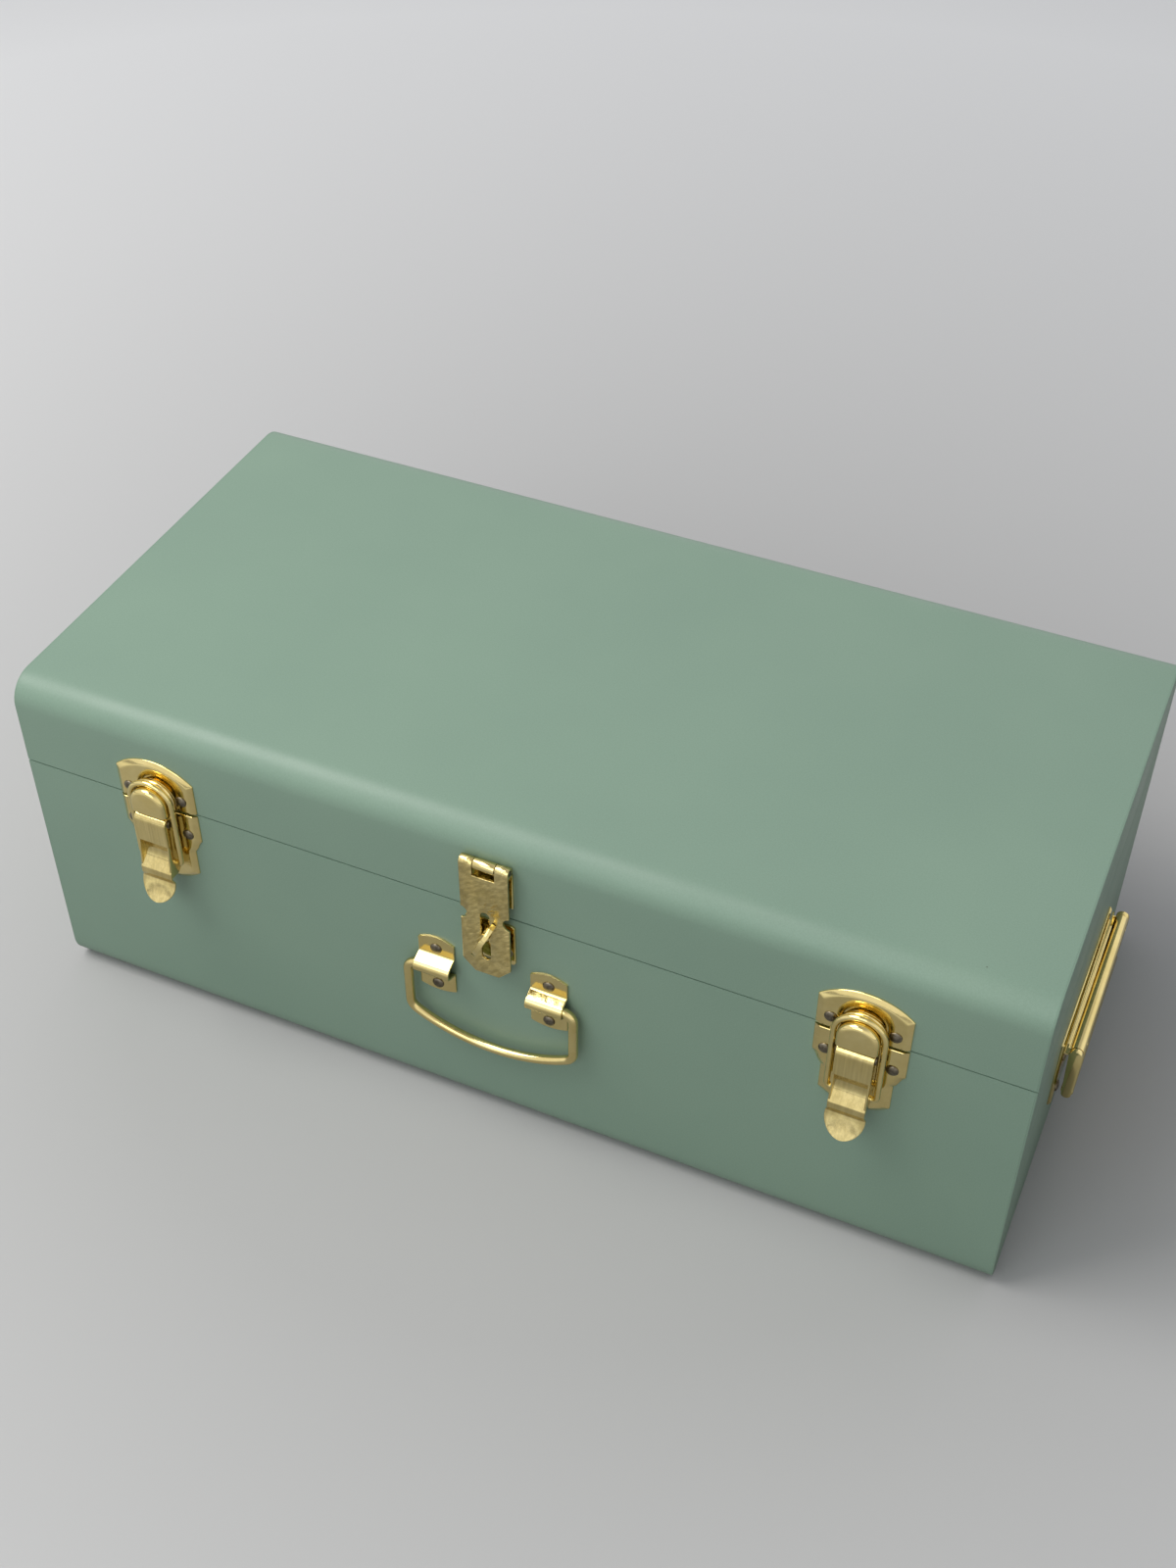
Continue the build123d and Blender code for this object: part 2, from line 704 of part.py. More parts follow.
def hasp_strap():
    """The strap: two outer knuckles, a window under the middle one, notches, and a long slot."""
    half = hasp_half_width
    foot = half - hasp_chamfer_across
    corner = hasp_strap_low + hasp_chamfer_up
    face = outline(
        [
            (-half, hasp_axis_height),
            (-half, corner),
            (-foot, hasp_strap_low),
            (foot, hasp_strap_low),
            (half, corner),
            (half, hasp_axis_height),
        ]
    )
    strap = raised(face, strap_inner, strap_outer)
    for side in (-1, 1):
        knuckle = sorted((side * half, side * (hasp_middle_half + hasp_knuckle_gap)))
        strap += rod(knuckle, hasp_axis_height, hasp_axis_proud, hasp_knuckle_radius)
        notch = side * (half + hasp_notch_inset)
        strap -= post(notch, hasp_notch_height, hasp_notch_radius, (0, 2 * strap_outer))
    window = hasp_middle_half + hasp_knuckle_gap
    strap -= slab((-window, window), (hasp_window_low, hasp_axis_height + 1), (0, 2 * strap_outer))
    slot = SlotOverall(2 * hasp_slot_half_length, 2 * hasp_slot_half_width, rotation=90)
    strap -= Pos(0, staple_height, 0) * raised(make_face(slot.edges()), 0, 2 * strap_outer)
    bore = hasp_pin_radius + hasp_pin_play
    return strap - rod((-2 * half, 2 * half), hasp_axis_height, hasp_axis_proud, bore)


def staple_plate():
    """The plate riveted to the base that the turning staple stands in."""
    half = staple_plate_half_width
    plate = slab((-half, half), (staple_plate_low, staple_plate_high), (0, staple_plate_thickness))
    plate = fillet(plate.edges().filter_by(Axis.Z), staple_plate_corner)
    plate -= post(0, staple_height, staple_neck_radius + staple_neck_play, (-1, 2 * staple_plate_thickness))
    return plate - rivet_bores(staple_rivets, (-sheet, 2 * staple_plate_thickness))


def turn_staple():
    """The turning staple: a neck through the slot, a collar behind the wall and a holed head."""
    base = strap_outer + staple_stand_off
    reach = base + staple_reach
    half = staple_half_length
    shoulder = base + staple_reach * 0.35
    profile = outline(
        [(base, -half), (shoulder, -half), (shoulder, half), (base, half)],
        ((shoulder, -half), (reach, 0), (shoulder, half)),
    )
    head = along(profile, (-staple_thickness / 2, staple_thickness / 2))
    head -= rod((-half, half), 0, base + staple_reach * 0.5, staple_hole_radius)
    staple = Rot(0, 0, -staple_lean) * head
    behind = -sheet - staple_stand_off
    staple += post(0, 0, staple_neck_radius, (behind - staple_collar_thickness, base + 0.6))
    staple += post(0, 0, staple_collar_radius, (behind - staple_collar_thickness, behind))
    return Pos(0, staple_height, 0) * staple


keep("hasp_leaf", front_face * hasp_leaf())
keep("hasp_strap", front_face * hasp_strap())
hasp_ends = (-hasp_half_width, hasp_half_width)
keep("hasp_pin", front_face * rod(hasp_ends, hasp_axis_height, hasp_axis_proud, hasp_pin_radius))
keep("staple_plate", front_face * staple_plate())
keep("turn_staple", front_face * turn_staple())
leaf_solids = [rivet(a, up, hasp_leaf_thickness, flat_rivet_height, sheet) for a, up in leaf_rivets]
keep("hasp_leaf_rivets", grouped([front_face * solid for solid in leaf_solids]))
staple_solids = [rivet(a, up, staple_plate_thickness, flat_rivet_height, sheet) for a, up in staple_rivets]
keep("staple_rivets", grouped([front_face * solid for solid in staple_solids]))


# Front handle
def bracket():
    """A bracket: a strip with a band bent out of it round the bail, its two ends cut to arches."""
    half = bracket_half_width
    foot = bracket_low + bracket_foot_bulge
    flange = bracket_thickness
    outermost = bridge_proud + bridge_radius
    line = FilletPolyline(
        (flange, bracket_crown + 1),
        (flange, bridge_height + bridge_radius),
        (outermost, bridge_height + bridge_radius),
        (outermost, bridge_height - bridge_radius),
        (flange, bridge_height - bridge_radius),
        (flange, bracket_low - 1),
        radius=[bracket_bend_radius, bridge_corner_radius, bridge_corner_radius, bracket_bend_radius],
    )
    section = make_face(offset(line, amount=flange, side=Side.RIGHT).edges())
    face = outline(
        [(-half, foot), (-half, bracket_side_top), (half, bracket_side_top), (half, foot)],
        ((-half, bracket_side_top), (0, bracket_crown), (half, bracket_side_top)),
        ((half, foot), (0, bracket_low), (-half, foot)),
    )
    strip = along(section, (-half, half)) & raised(face, -1, outermost + 1)
    places = [(0, up) for up in (bracket_rivet_low, bracket_rivet_high)]
    return strip - rivet_bores(places, (-sheet, 2 * flange))


def front_bail():
    """The bail: one bent wire, bowed along its grip, whose turned-in ends stop inside the brackets."""
    end = bracket_offset - bracket_half_width + bail_end_recess
    side = bail_half_spacing
    low = bridge_height - bail_drop
    left = Polyline((-end, bridge_height), (-side, bridge_height), (-side, low))
    grip = ThreePointArc((-side, low), (0, low - bail_bow), (side, low))
    right = Polyline((side, low), (side, bridge_height), (end, bridge_height))
    path = Wire(left.edges() + grip.edges() + right.edges())
    for height, radius in ((bridge_height, bail_high_corner_radius), (low, bail_low_corner_radius)):
        corners = [v for v in path.vertices() if abs(v.Y - height) < 0.01 and abs(abs(v.X) - side) < 0.01]
        path = fillet(corners, radius)
    return Pos(0, 0, bridge_proud) * wire_rod(path, bail_wire_radius)


for side_name, side in sides:
    keep("front_bracket_" + side_name, front_face * shifted(bracket(), side * bracket_offset))
keep("front_bail", front_face * front_bail())
bracket_solids = [rivet(a, up, bracket_thickness, rivet_head_height, sheet) for a, up in bracket_rivets]
keep("front_handle_rivets", grouped([front_face * solid for solid in bracket_solids]))


# Side handles
def side_plate():
    """A bevelled plate whose upper edge is rolled outward into a lip and a hollow barrel."""
    half = side_half_length
    plate = slab((-half, half), (side_plate_low, side_plate_high), (0, side_plate_thickness))
    plate = chamfer(plate.faces().sort_by(Axis.Z)[-1].edges(), side_plate_bevel)
    reach = (-barrel_half_length, barrel_half_length)
    under = barrel_height - barrel_radius
    web_top = under + barrel_radius - barrel_bore_radius
    plate += slab(reach, (under, web_top), (side_plate_thickness / 2, barrel_proud))
    lip = (barrel_lip_proud, barrel_lip_proud + barrel_lip_thickness)
    plate += slab(reach, (under, side_plate_high), lip)
    for side in (-1, 1):
        curl = sorted((side * barrel_half_length, side * (barrel_half_length - barrel_lip_thickness)))
        plate += slab(curl, (under, barrel_height + barrel_radius / 2), (barrel_lip_proud, barrel_proud))
    plate += rod(reach, barrel_height, barrel_proud, barrel_radius)
    plate -= rod((-2 * half, 2 * half), barrel_height, barrel_proud, barrel_bore_radius)
    for side in (-1, 1):
        vent = side * (barrel_half_length - barrel_vent_inset)
        plate -= post(vent, barrel_height, barrel_vent_radius, (barrel_proud, 2 * barrel_proud))
    return plate - rivet_bores(side_rivets, (-sheet, 2 * side_plate_thickness))


def side_bail():
    """The bail: two tapering strap arms on pins in the barrel, joined by a round grip below."""
    foot = barrel_height - side_bail_drop
    top = side_arm_top_radius
    narrow = side_arm_foot_half
    high_in, high_out = (barrel_proud - top, barrel_height), (barrel_proud + top, barrel_height)
    low_in, low_out = (barrel_proud - narrow, foot), (barrel_proud + narrow, foot)
    arm = outline(
        [high_in, high_out, low_out, low_in],
        (high_in, (barrel_proud, barrel_height + top), high_out),
        (low_out, (barrel_proud, foot - narrow), low_in),
    )
    outer = arm_inner + side_arm_thickness
    bail = rod((-arm_inner - 0.5, arm_inner + 0.5), foot, barrel_proud, side_grip_radius)
    for side in (-1, 1):
        bail += along(arm, sorted((side * arm_inner, side * outer)))
        pin = sorted((side * (arm_inner + 0.5), side * (barrel_half_length - side_pin_depth)))
        bail += rod(pin, barrel_height, barrel_proud, side_pin_radius)
    return bail


for side_name, side in sides:
    wall = right_face if side > 0 else left_face
    keep("side_plate_" + side_name, wall * side_plate())
    keep("side_bail_" + side_name, wall * side_bail())
side_solids = [rivet(a, up, side_plate_thickness, rivet_head_height, sheet) for a, up in side_rivets]
ends = (left_face, right_face)
keep("side_handle_rivets", grouped([wall * solid for wall in ends for solid in side_solids]))

os.makedirs("parts", exist_ok=True)
for name, shape in nodes.items():
    export_step(shape, "parts/" + name + ".step")
print(len(nodes), "sub-parts written")
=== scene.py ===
# %% [markdown]
# # A painted steel storage trunk
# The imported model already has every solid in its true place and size. This lesson dresses it: it
# draws the sheet body, the latches, the front handle and the rivets as smooth surfaces worked out
# with numpy, softens the edges of the rest, and gives every piece a procedural finish.

# %% Load the frame
import bmesh
import bpy
import math
import numpy as np
from mathutils import Matrix, Vector


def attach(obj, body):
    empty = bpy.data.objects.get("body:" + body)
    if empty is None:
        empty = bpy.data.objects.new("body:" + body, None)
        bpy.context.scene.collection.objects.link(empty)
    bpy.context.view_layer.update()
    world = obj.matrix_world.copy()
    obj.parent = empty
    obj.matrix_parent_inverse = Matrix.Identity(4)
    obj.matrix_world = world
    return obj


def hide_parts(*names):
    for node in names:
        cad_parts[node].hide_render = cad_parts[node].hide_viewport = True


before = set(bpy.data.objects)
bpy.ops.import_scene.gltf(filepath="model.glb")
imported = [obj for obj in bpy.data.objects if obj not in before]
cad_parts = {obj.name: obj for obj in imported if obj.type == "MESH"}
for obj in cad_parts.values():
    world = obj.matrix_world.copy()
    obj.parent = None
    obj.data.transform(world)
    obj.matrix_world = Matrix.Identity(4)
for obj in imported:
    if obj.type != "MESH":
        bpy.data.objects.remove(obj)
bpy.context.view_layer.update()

# %% [markdown]
# ## The sizes that the pieces share
# These are the trunk's own measures. They are written once here, in millimetres as a maker would
# say them, and turned into metres by one factor, so that each surface lands on its solid.

# %% Sizes
MM = 0.001
WIDTH, DEPTH, HEIGHT = 500.0, 248.0, 190.0
SEAM, SEAM_GAP, EDGE_RADIUS, SHEET = 142.0, 0.8, 14.0, 0.8
SIDES = ("left", "right")
BOTH_WAYS = (-1, 1)
LATCH_CENTRES = {"left": -174.6, "right": 174.6}
print("trunk", WIDTH, DEPTH, HEIGHT, "mm, seam at", SEAM)

# %% [markdown]
# ## Standing somewhere and looking at something
# The camera and the lamps each stand at a place and face a target. One function works out that
# position and turn, with the world's upright kept upright.

# %% Facing a target
def looking(place, target):
    """The matrix of a thing that stands at a place, with its -Z axis towards the target."""
    turn = (Vector(target) - Vector(place)).to_track_quat("-Z", "Y")
    return Matrix.Translation(place) @ turn.to_matrix().to_4x4()


print("looking down", looking((0, 0, 1), (0, 0, 0)).to_euler())

# %% [markdown]
# ## The camera
# The photograph looks down on the front right of the trunk. The camera stands at that eye point,
# aims at a point near the middle of the body, and is rolled by a quarter of a degree. A lens of
# 44.8 mm on a frame 36 mm tall gives the same perspective as the photograph.

# %% Camera
EYE, AIM = (0.28328, -0.65795, 0.77704), (-0.01295, 0.01282, 0.1)
LENS, FRAME_HEIGHT, ROLL = 44.77, 36.0, 0.251
camera = bpy.data.objects.new("camera", bpy.data.cameras.new("camera"))
camera.data.sensor_fit = "VERTICAL"
camera.data.sensor_height = FRAME_HEIGHT
camera.data.lens = LENS
camera.matrix_world = looking(EYE, AIM) @ Matrix.Rotation(math.radians(ROLL), 4, "Z")
bpy.context.scene.collection.objects.link(camera)
bpy.context.scene.camera = camera
print("camera", [round(v, 3) for v in camera.matrix_world.to_euler()])

# %% [markdown]
# ## Walls to hang things on
# Hardware is easiest to describe on its own wall: how far across, how far up, and how proud of
# the sheet. One function turns those three arrays into points in the room, for each wall.

# %% Walls
WALLS = {
    "front": (np.array([0, -DEPTH / 2, 0]), np.array([1, 0, 0]), np.array([0, -1, 0])),
    "right": (np.array([WIDTH / 2, 0, 0]), np.array([0, 1, 0]), np.array([1, 0, 0])),
    "left": (np.array([-WIDTH / 2, 0, 0]), np.array([0, -1, 0]), np.array([-1, 0, 0])),
    "back": (np.array([0, DEPTH / 2, 0]), np.array([-1, 0, 0]), np.array([0, 1, 0])),
}
UP = np.array([0, 0, 1])


def on_wall(wall, across, up, proud):
    """Point = wall origin + across * sideways + up * upward + proud * outward, in metres."""
    origin, sideways, outward = WALLS[wall]
    across, up, proud = np.broadcast_arrays(across, up, proud)
    place = across[..., None] * sideways + up[..., None] * UP + proud[..., None] * outward
    return (origin + place) * MM


print("walls", sorted(WALLS))

# %% [markdown]
# ## From a grid of points to a mesh
# Every surface here is a grid: rows along one parameter, columns along the other. Joining each
# point to its neighbours gives the faces. A grid that closes on itself joins its last column to
# the first, and its open ends are closed with one face each, so that no piece is left hollow.

# %% Grid to mesh
SAME_POINT = 1e-7
SHARP_FROM = math.radians(40)


def grid_faces(rows, columns, offset):
    """Quads between neighbouring rows of a grid whose columns close into a ring, and two caps."""
    index = np.arange(rows * columns).reshape(rows, columns) + offset
    beside = np.roll(index, -1, axis=1)
    quads = np.stack([index[:-1], beside[:-1], beside[1:], index[1:]], axis=-1).reshape(-1, 4)
    return quads.tolist() + [index[0][::-1].tolist(), index[-1].tolist()]


def add_piece(node, grids, body):
    """One object from several closed grids, which takes the place of one solid. It is shaded
    smooth except where faces meet sharply."""
    name = node + "_skin"
    points, faces = [], []
    for grid in grids:
        rows, columns = grid.shape[:2]
        faces += grid_faces(rows, columns, sum(len(p) for p in points))
        points.append(grid.reshape(-1, 3))
    mesh = bpy.data.meshes.new(name)
    mesh.from_pydata(np.concatenate(points).tolist(), [], faces)
    work = bmesh.new()
    work.from_mesh(mesh)
    bmesh.ops.remove_doubles(work, verts=work.verts, dist=SAME_POINT)
    bmesh.ops.recalc_face_normals(work, faces=work.faces)
    work.to_mesh(mesh)
    work.free()
    mesh.shade_smooth()
    mesh.set_sharp_from_angle(angle=SHARP_FROM)
    piece = bpy.data.objects.new(name, mesh)
    bpy.context.scene.collection.objects.link(piece)
    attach(piece, body)
    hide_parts(node)
    print(name, len(mesh.polygons), "faces")
    return piece


# %% [markdown]
# ## Lines to follow
# Most of the trunk is bent from a strip or a wire, so most shapes start as a line with rounded
# corners. Each corner is replaced by an arc that touches both of its straight runs, and then the
# line is read off at even steps.

# %% Rounded lines
ARC_POINTS = 10


def rounded_line(corners, radii, step=0.4):
    """Straight runs joined by arcs. An arc's centre is on the corner's bisector, radius / sin(half)
    from the corner."""
    corners = np.asarray(corners, float)
    pieces = [corners[:1]]
    for before, corner, after, radius in zip(corners, corners[1:], corners[2:], radii):
        back = (before - corner) / np.linalg.norm(before - corner)
        ahead = (after - corner) / np.linalg.norm(after - corner)
        half = math.acos(np.clip(back @ ahead, -1, 1)) / 2
        start = corner + back * radius / math.tan(half)
        centre = corner + (back + ahead) / np.linalg.norm(back + ahead) * radius / math.sin(half)
        first = start - centre
        inward = back / np.linalg.norm(back) * -radius
        turn = np.linspace(0, math.pi - 2 * half, ARC_POINTS)[:, None]
        pieces.append(centre + first * np.cos(turn) + inward * np.sin(turn))
    pieces.append(corners[-1:])
    return even_steps(np.concatenate(pieces), step)


def even_steps(line, step):
    """The same line with extra points, so that no run is longer than the step."""
    parts = []
    for start, end in zip(line, line[1:]):
        count = max(1, int(math.ceil(np.linalg.norm(end - start) / step)))
        parts.append(start + (end - start) * np.linspace(0, 1, count, endpoint=False)[:, None])
    return np.concatenate(parts + [line[-1:]])


def arc(centre, radius, start, end, count):
    """Points at centre + radius * (cos, sin) between two angles in degrees."""
    angle = np.radians(np.linspace(start, end, count))
    return np.asarray(centre) + radius * np.stack([np.cos(angle), np.sin(angle)], axis=-1)


def through(first, middle, last, count):
    """The circular arc through three points, read off at even angles. Its centre is where two of
    the points' perpendicular bisectors meet."""
    (ax, ay), (bx, by), (cx, cy) = first, middle, last
    d = 2 * (ax * (by - cy) + bx * (cy - ay) + cx * (ay - by))
    a, b, c = ax * ax + ay * ay, bx * bx + by * by, cx * cx + cy * cy
    ox = (a * (by - cy) + b * (cy - ay) + c * (ay - by)) / d
    oy = (a * (cx - bx) + b * (ax - cx) + c * (bx - ax)) / d
    ends = [math.degrees(math.atan2(y - oy, x - ox)) for x, y in (first, middle, last)]
    sweep = (ends[2] - ends[0]) % 360
    if (ends[1] - ends[0]) % 360 > sweep:
        sweep -= 360
    return arc((ox, oy), math.hypot(ax - ox, ay - oy), ends[0], ends[0] + sweep, count)


def normals_of(line, closed=False):
    """The unit vector square to the line at each point, on its right-hand side."""
    if closed:
        along = np.roll(line, -1, axis=0) - np.roll(line, 1, axis=0)
    else:
        along = np.gradient(line, axis=0)
    along = along / np.linalg.norm(along, axis=1, keepdims=True)
    return np.stack([along[:, 1], -along[:, 0]], axis=-1)


print("arc test", through((-1, 0), (0, 1), (1, 0), 5).round(3).tolist())

# %% [markdown]
# ## Four ways to make a closed form
# A bent strip is a line in the plane of its bends, given width and thickness. A pressed plate is
# an outline drawn again and again, each time a little further in and a little higher. A wire is
# one circle carried along a line, and a turned piece is a row of circles on one axis. All the
# hardware drawn here is one of these.

# %% Strips, plates, wires and turned pieces
BEND_POINTS, QUARTER_POINTS = 5, 7
LEAD = 0.6
ON_FLAT = 1e-6
INSET_SLACK = 0.02


def strip_section(half_width, thickness, edge):
    """A rectangle from -half to +half and from 0 to thickness, its corners rounded by quarter arcs.
    One more point just before and after each arc keeps the shading of the flats level."""
    corners = []
    for across, depth, start in (
        (half_width - edge, edge, -90),
        (half_width - edge, thickness - edge, 0),
        (edge - half_width, thickness - edge, 90),
        (edge - half_width, edge, 180),
    ):
        bend = arc((across, depth), edge, start, start + 90, BEND_POINTS)
        lead = LEAD * edge * arc((0, 0), 1, start + 90, start + 180, 2)
        corners.append(np.concatenate([bend[:1] - lead[:1], bend, bend[-1:] + lead[1:]]))
    return np.concatenate(corners)


def bent_strip(line, section):
    """Grid point = line point + normal * section depth, at the section's own place across."""
    normal = normals_of(line)
    depth = section[None, :, 1]
    proud = line[:, :1] + normal[:, :1] * depth
    up = line[:, 1:] + normal[:, 1:] * depth
    return np.broadcast_to(section[:, 0], up.shape), up, proud


def inset_outline(outline, inset, flat, seam_inset):
    """Each point moves in along its normal. Near a corner such points would cross, and these are
    the ones that end up nearer to the outline than the inset: they are put between their sound
    neighbours. Points on a flat edge close up sideways, and move in by an inset of their own."""
    on_seam = np.zeros(len(outline), bool)
    if flat is not None:
        on_seam = np.abs(outline[:, 1] - flat) < ON_FLAT
    sideways = -outline[:, :1] / np.abs(outline[:, 0]).max() * [1, 0]
    inward = np.where(on_seam[:, None], sideways, normals_of(outline, closed=True))
    moved = outline + inward * inset
    gap = np.linalg.norm(moved[:, None] - outline[None, ~on_seam], axis=-1).min(axis=1)
    index = np.arange(len(outline))
    sound = index[on_seam | (gap > abs(inset) - INSET_SLACK)]
    shape = [np.interp(index, sound, moved[sound, k], period=len(index)) for k in (0, 1)]
    shape = np.stack(shape, axis=-1)
    shape[:, 1] += np.where(on_seam, np.sign(outline[:, 1].mean() - outline[:, 1]) * seam_inset, 0)
    return shape


def plate_grid(outline, levels, flat=None):
    """Each level is the outline drawn again at that level's inset and height. A third number, where
    there is one, rounds the flat edge off."""
    shape = np.stack([inset_outline(outline, inset, flat, sum(seam)) for inset, _, *seam in levels])
    height = np.array([level[1] for level in levels])
    return shape[..., 0], shape[..., 1], np.broadcast_to(height[:, None], shape.shape[:2])


def wire(line, radius, proud, sides=20):
    """A round wire whose line lies flat to the wall: circle = normal * cos + outward * sin."""
    normal = normals_of(line)
    angle = np.linspace(0, 2 * math.pi, sides, endpoint=False)
    across = line[:, :1] + normal[:, :1] * radius * np.cos(angle)
    up = line[:, 1:] + normal[:, 1:] * radius * np.cos(angle)
    return across, up, proud + radius * np.sin(angle)[None] + 0 * across


def turned(stations, centre, axis, sides=32):
    """Circles of the given radii at the given places on an axis that stands out or runs across."""
    place, radius = np.asarray(stations, float).T
    angle = np.linspace(0, 2 * math.pi, sides, endpoint=False)
    first = radius[:, None] * np.cos(angle)
    second = radius[:, None] * np.sin(angle)
    along = place[:, None] + 0 * first
    if axis == "out":
        return centre[0] + first, centre[1] + second, along
    return along, centre[0] + first, centre[1] + second


def dense(outline, step=0.6):
    """A closed outline with points no further apart than the step."""
    return even_steps(np.concatenate([outline, outline[:1]]), step)[:-1]


def quarter_round(radius, start):
    """Levels of an edge rounded by a quarter circle: inset = r - r cos, height = start + r sin."""
    turn = np.radians(np.linspace(0, 90, QUARTER_POINTS))
    inset, height = radius - radius * np.cos(turn), start + radius * np.sin(turn)
    return np.stack([inset, height], axis=-1).tolist()


def put(wall, grid, centre=0.0):
    """Lays a grid on its wall, moved sideways to its centre."""
    across, up, proud = grid
    return on_wall(wall, across + centre, up, proud)


print("section points", len(strip_section(5, 1, 0.3)))

# %% [markdown]
# ## The sheet body
# The lid and the base are each one sheet bent round two long edges, with a flat panel at each
# end. A panel or box would need its edges bevelled by hand. Carrying the sheet's section along
# the bend gives the true radius and the thin edge at the seam in one go.

# %% Sheet body
FRONT, BACK = -DEPTH / 2, DEPTH / 2
LID_LOW, BASE_HIGH = SEAM + SEAM_GAP / 2, SEAM - SEAM_GAP / 2
SHEET_STEP, SHEET_EDGE = 6, 0.12
lid_corners = [(FRONT, LID_LOW), (FRONT, HEIGHT), (BACK, HEIGHT), (BACK, LID_LOW)]
base_corners = [(BACK, BASE_HIGH), (BACK, 0), (FRONT, 0), (FRONT, BASE_HIGH)]
lid_line = rounded_line(lid_corners, [EDGE_RADIUS, EDGE_RADIUS], SHEET_STEP)
base_line = rounded_line(base_corners, [EDGE_RADIUS, EDGE_RADIUS], SHEET_STEP)


def body_sheet(node, line, body):
    """The line is (y, z) and the section runs along x, so that point = (x, y + ny * depth,
    z + nz * depth)."""
    section = strip_section(WIDTH / 2 - SHEET, SHEET, SHEET_EDGE)
    across, up, along = bent_strip(line, section)
    grid = np.stack([across, along, up], axis=-1) * MM
    return add_piece(node, [grid], body)


def end_panel(body, line, side):
    """The panel's outline is the outside of the bend. Its outer edge is rounded off like a fold."""
    if side == "right":
        outline = dense(line, SHEET_STEP)
    else:
        outline = dense(line * [-1, 1], SHEET_STEP)[::-1]
    fold = [(0, -SHEET), (0, -0.45), (0.04, -0.3), (0.13, -0.15), (0.28, -0.04), (0.5, 0)]
    return add_piece(body + "_end_" + side, [put(side, plate_grid(outline, fold))], body)


painted = [body_sheet("lid_shell", lid_line, "lid"), body_sheet("base_shell", base_line, "base")]
for side in SIDES:
    painted.append(end_panel("lid", lid_line, side))
    painted.append(end_panel("base", base_line, side))
painted.append(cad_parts["base_rim"])

# %% [markdown]
# ## Latch plates and keepers
# Each is a shallow pan pressed from brass-plated steel: a thin upright edge, a sloping side with
# soft bends, and a flat. The outline is drawn with lines and arcs. Each level of the pan is how
# far in it lies, how proud, and how far its seam edge draws back. The keeper also has a
# deep-drawn boss, made the same way with a flared foot and a rounded rim.

# %% Keepers
PAN_LEVELS = [
    (0, 0, 0),
    (0, 0.35, 0),
    (0.1, 0.58, 0),
    (0.35, 0.78, 0),
    (1.9, 1.55, 0.04),
    (2.2, 1.72, 0.12),
    (2.55, 1.87, 0.26),
    (2.9, 1.97, 0.45),
    (3.25, 2.0, 0.7),
    (4.0, 2.0, 1.0),
]
LATCH_HALF = 21
KEEPER_LOW, KEEPER_SIDE, KEEPER_TOP = SEAM + 0.8, 160, 168.5
ARCH_CENTRE, BOSS_RADIUS = 147.9, 9.5
BOSS_FOOT = [(-1.6, 1.6), (-1.6, 2.0), (-1.05, 2.1), (-0.55, 2.4), (-0.2, 2.9), (0, 3.7)]
BOSS_RIM, BOSS_RIM_FROM = 2.3, 8.2


def keeper_outline():
    """Clockwise: up the left side, over the crown, down the right side and back along the seam."""
    crown = through((-LATCH_HALF, KEEPER_SIDE), (0, KEEPER_TOP), (LATCH_HALF, KEEPER_SIDE), 40)
    return dense(np.concatenate([[(-LATCH_HALF, KEEPER_LOW)], crown, [(LATCH_HALF, KEEPER_LOW)]]))


def boss_outline():
    """An arch: two short sides up from the seam and a half circle over them."""
    arch = arc((0, ARCH_CENTRE), BOSS_RADIUS, 180, 0, 40)
    return dense(np.concatenate([[(-BOSS_RADIUS, KEEPER_LOW)], arch, [(BOSS_RADIUS, KEEPER_LOW)]]))


def keeper(side, centre):
    """A pan and its boss."""
    boss_levels = BOSS_FOOT + quarter_round(BOSS_RIM, BOSS_RIM_FROM)
    grids = [
        put("front", plate_grid(keeper_outline(), PAN_LEVELS, flat=KEEPER_LOW), centre),
        put("front", plate_grid(boss_outline(), boss_levels, flat=KEEPER_LOW), centre),
    ]
    return add_piece("latch_keeper_" + side, grids, "lid")


keepers = [keeper(side, centre) for side, centre in LATCH_CENTRES.items()]

# %% [markdown]
# ## The plates under the levers
# The plate is a pan of the same make. Two ears stand up from it and hold the lever's pin. An ear
# is a thin upright plate, so its outline lies in the plane of proud and up, and its thickness
# runs across.

# %% Latch plates
LEVER_PIVOT = (6.5, 136.9)
PLATE_TOP, SHOULDER, MID_BEND, WAIST = 141.2, (21, 124.5), (18.7, 120.5), (16.4, 116.5)
FOOT_SIDE, FOOT_LOW = 101.5, 95
EAR_RADIUS, EAR_NECK_HIGH, EAR_NECK_LOW = 2.6, (1.0, 131.4), (1.0, 126.4)
EAR_SIDES, EAR_SHEET, EAR_BURR = (-7.2, 6.3), 0.9, 0.1


def plate_outline():
    """Clockwise from the top right: straight sides, an S bend to the waist, and a bowed foot."""
    outer_bend = through(SHOULDER, (19.62, 122.5), MID_BEND, 8)
    inner_bend = through(MID_BEND, (17.78, 118.5), WAIST, 8)[1:]
    right = np.concatenate([[(LATCH_HALF, PLATE_TOP)], outer_bend, inner_bend])
    foot = through((WAIST[0], FOOT_SIDE), (0, FOOT_LOW), (-WAIST[0], FOOT_SIDE), 30)
    return dense(np.concatenate([right, foot, right[::-1] * [-1, 1]]))


def ear_outline():
    """The neck rises from the plate to the pin's eye, which is an arc about the pin."""
    eye_round = arc(LEVER_PIVOT, EAR_RADIUS, 154.5, -60, 24)
    return dense(np.concatenate([[EAR_NECK_HIGH], eye_round, [EAR_NECK_LOW]]), 0.5)


def upright_plate(outline, low, profile, centre):
    """A plate that stands square to the wall, its levels counted across from its low side."""
    levels = [(inset, low + thickness) for inset, thickness in profile]
    proud, up, across = plate_grid(outline, levels)
    return put("front", (across, up, proud), centre)


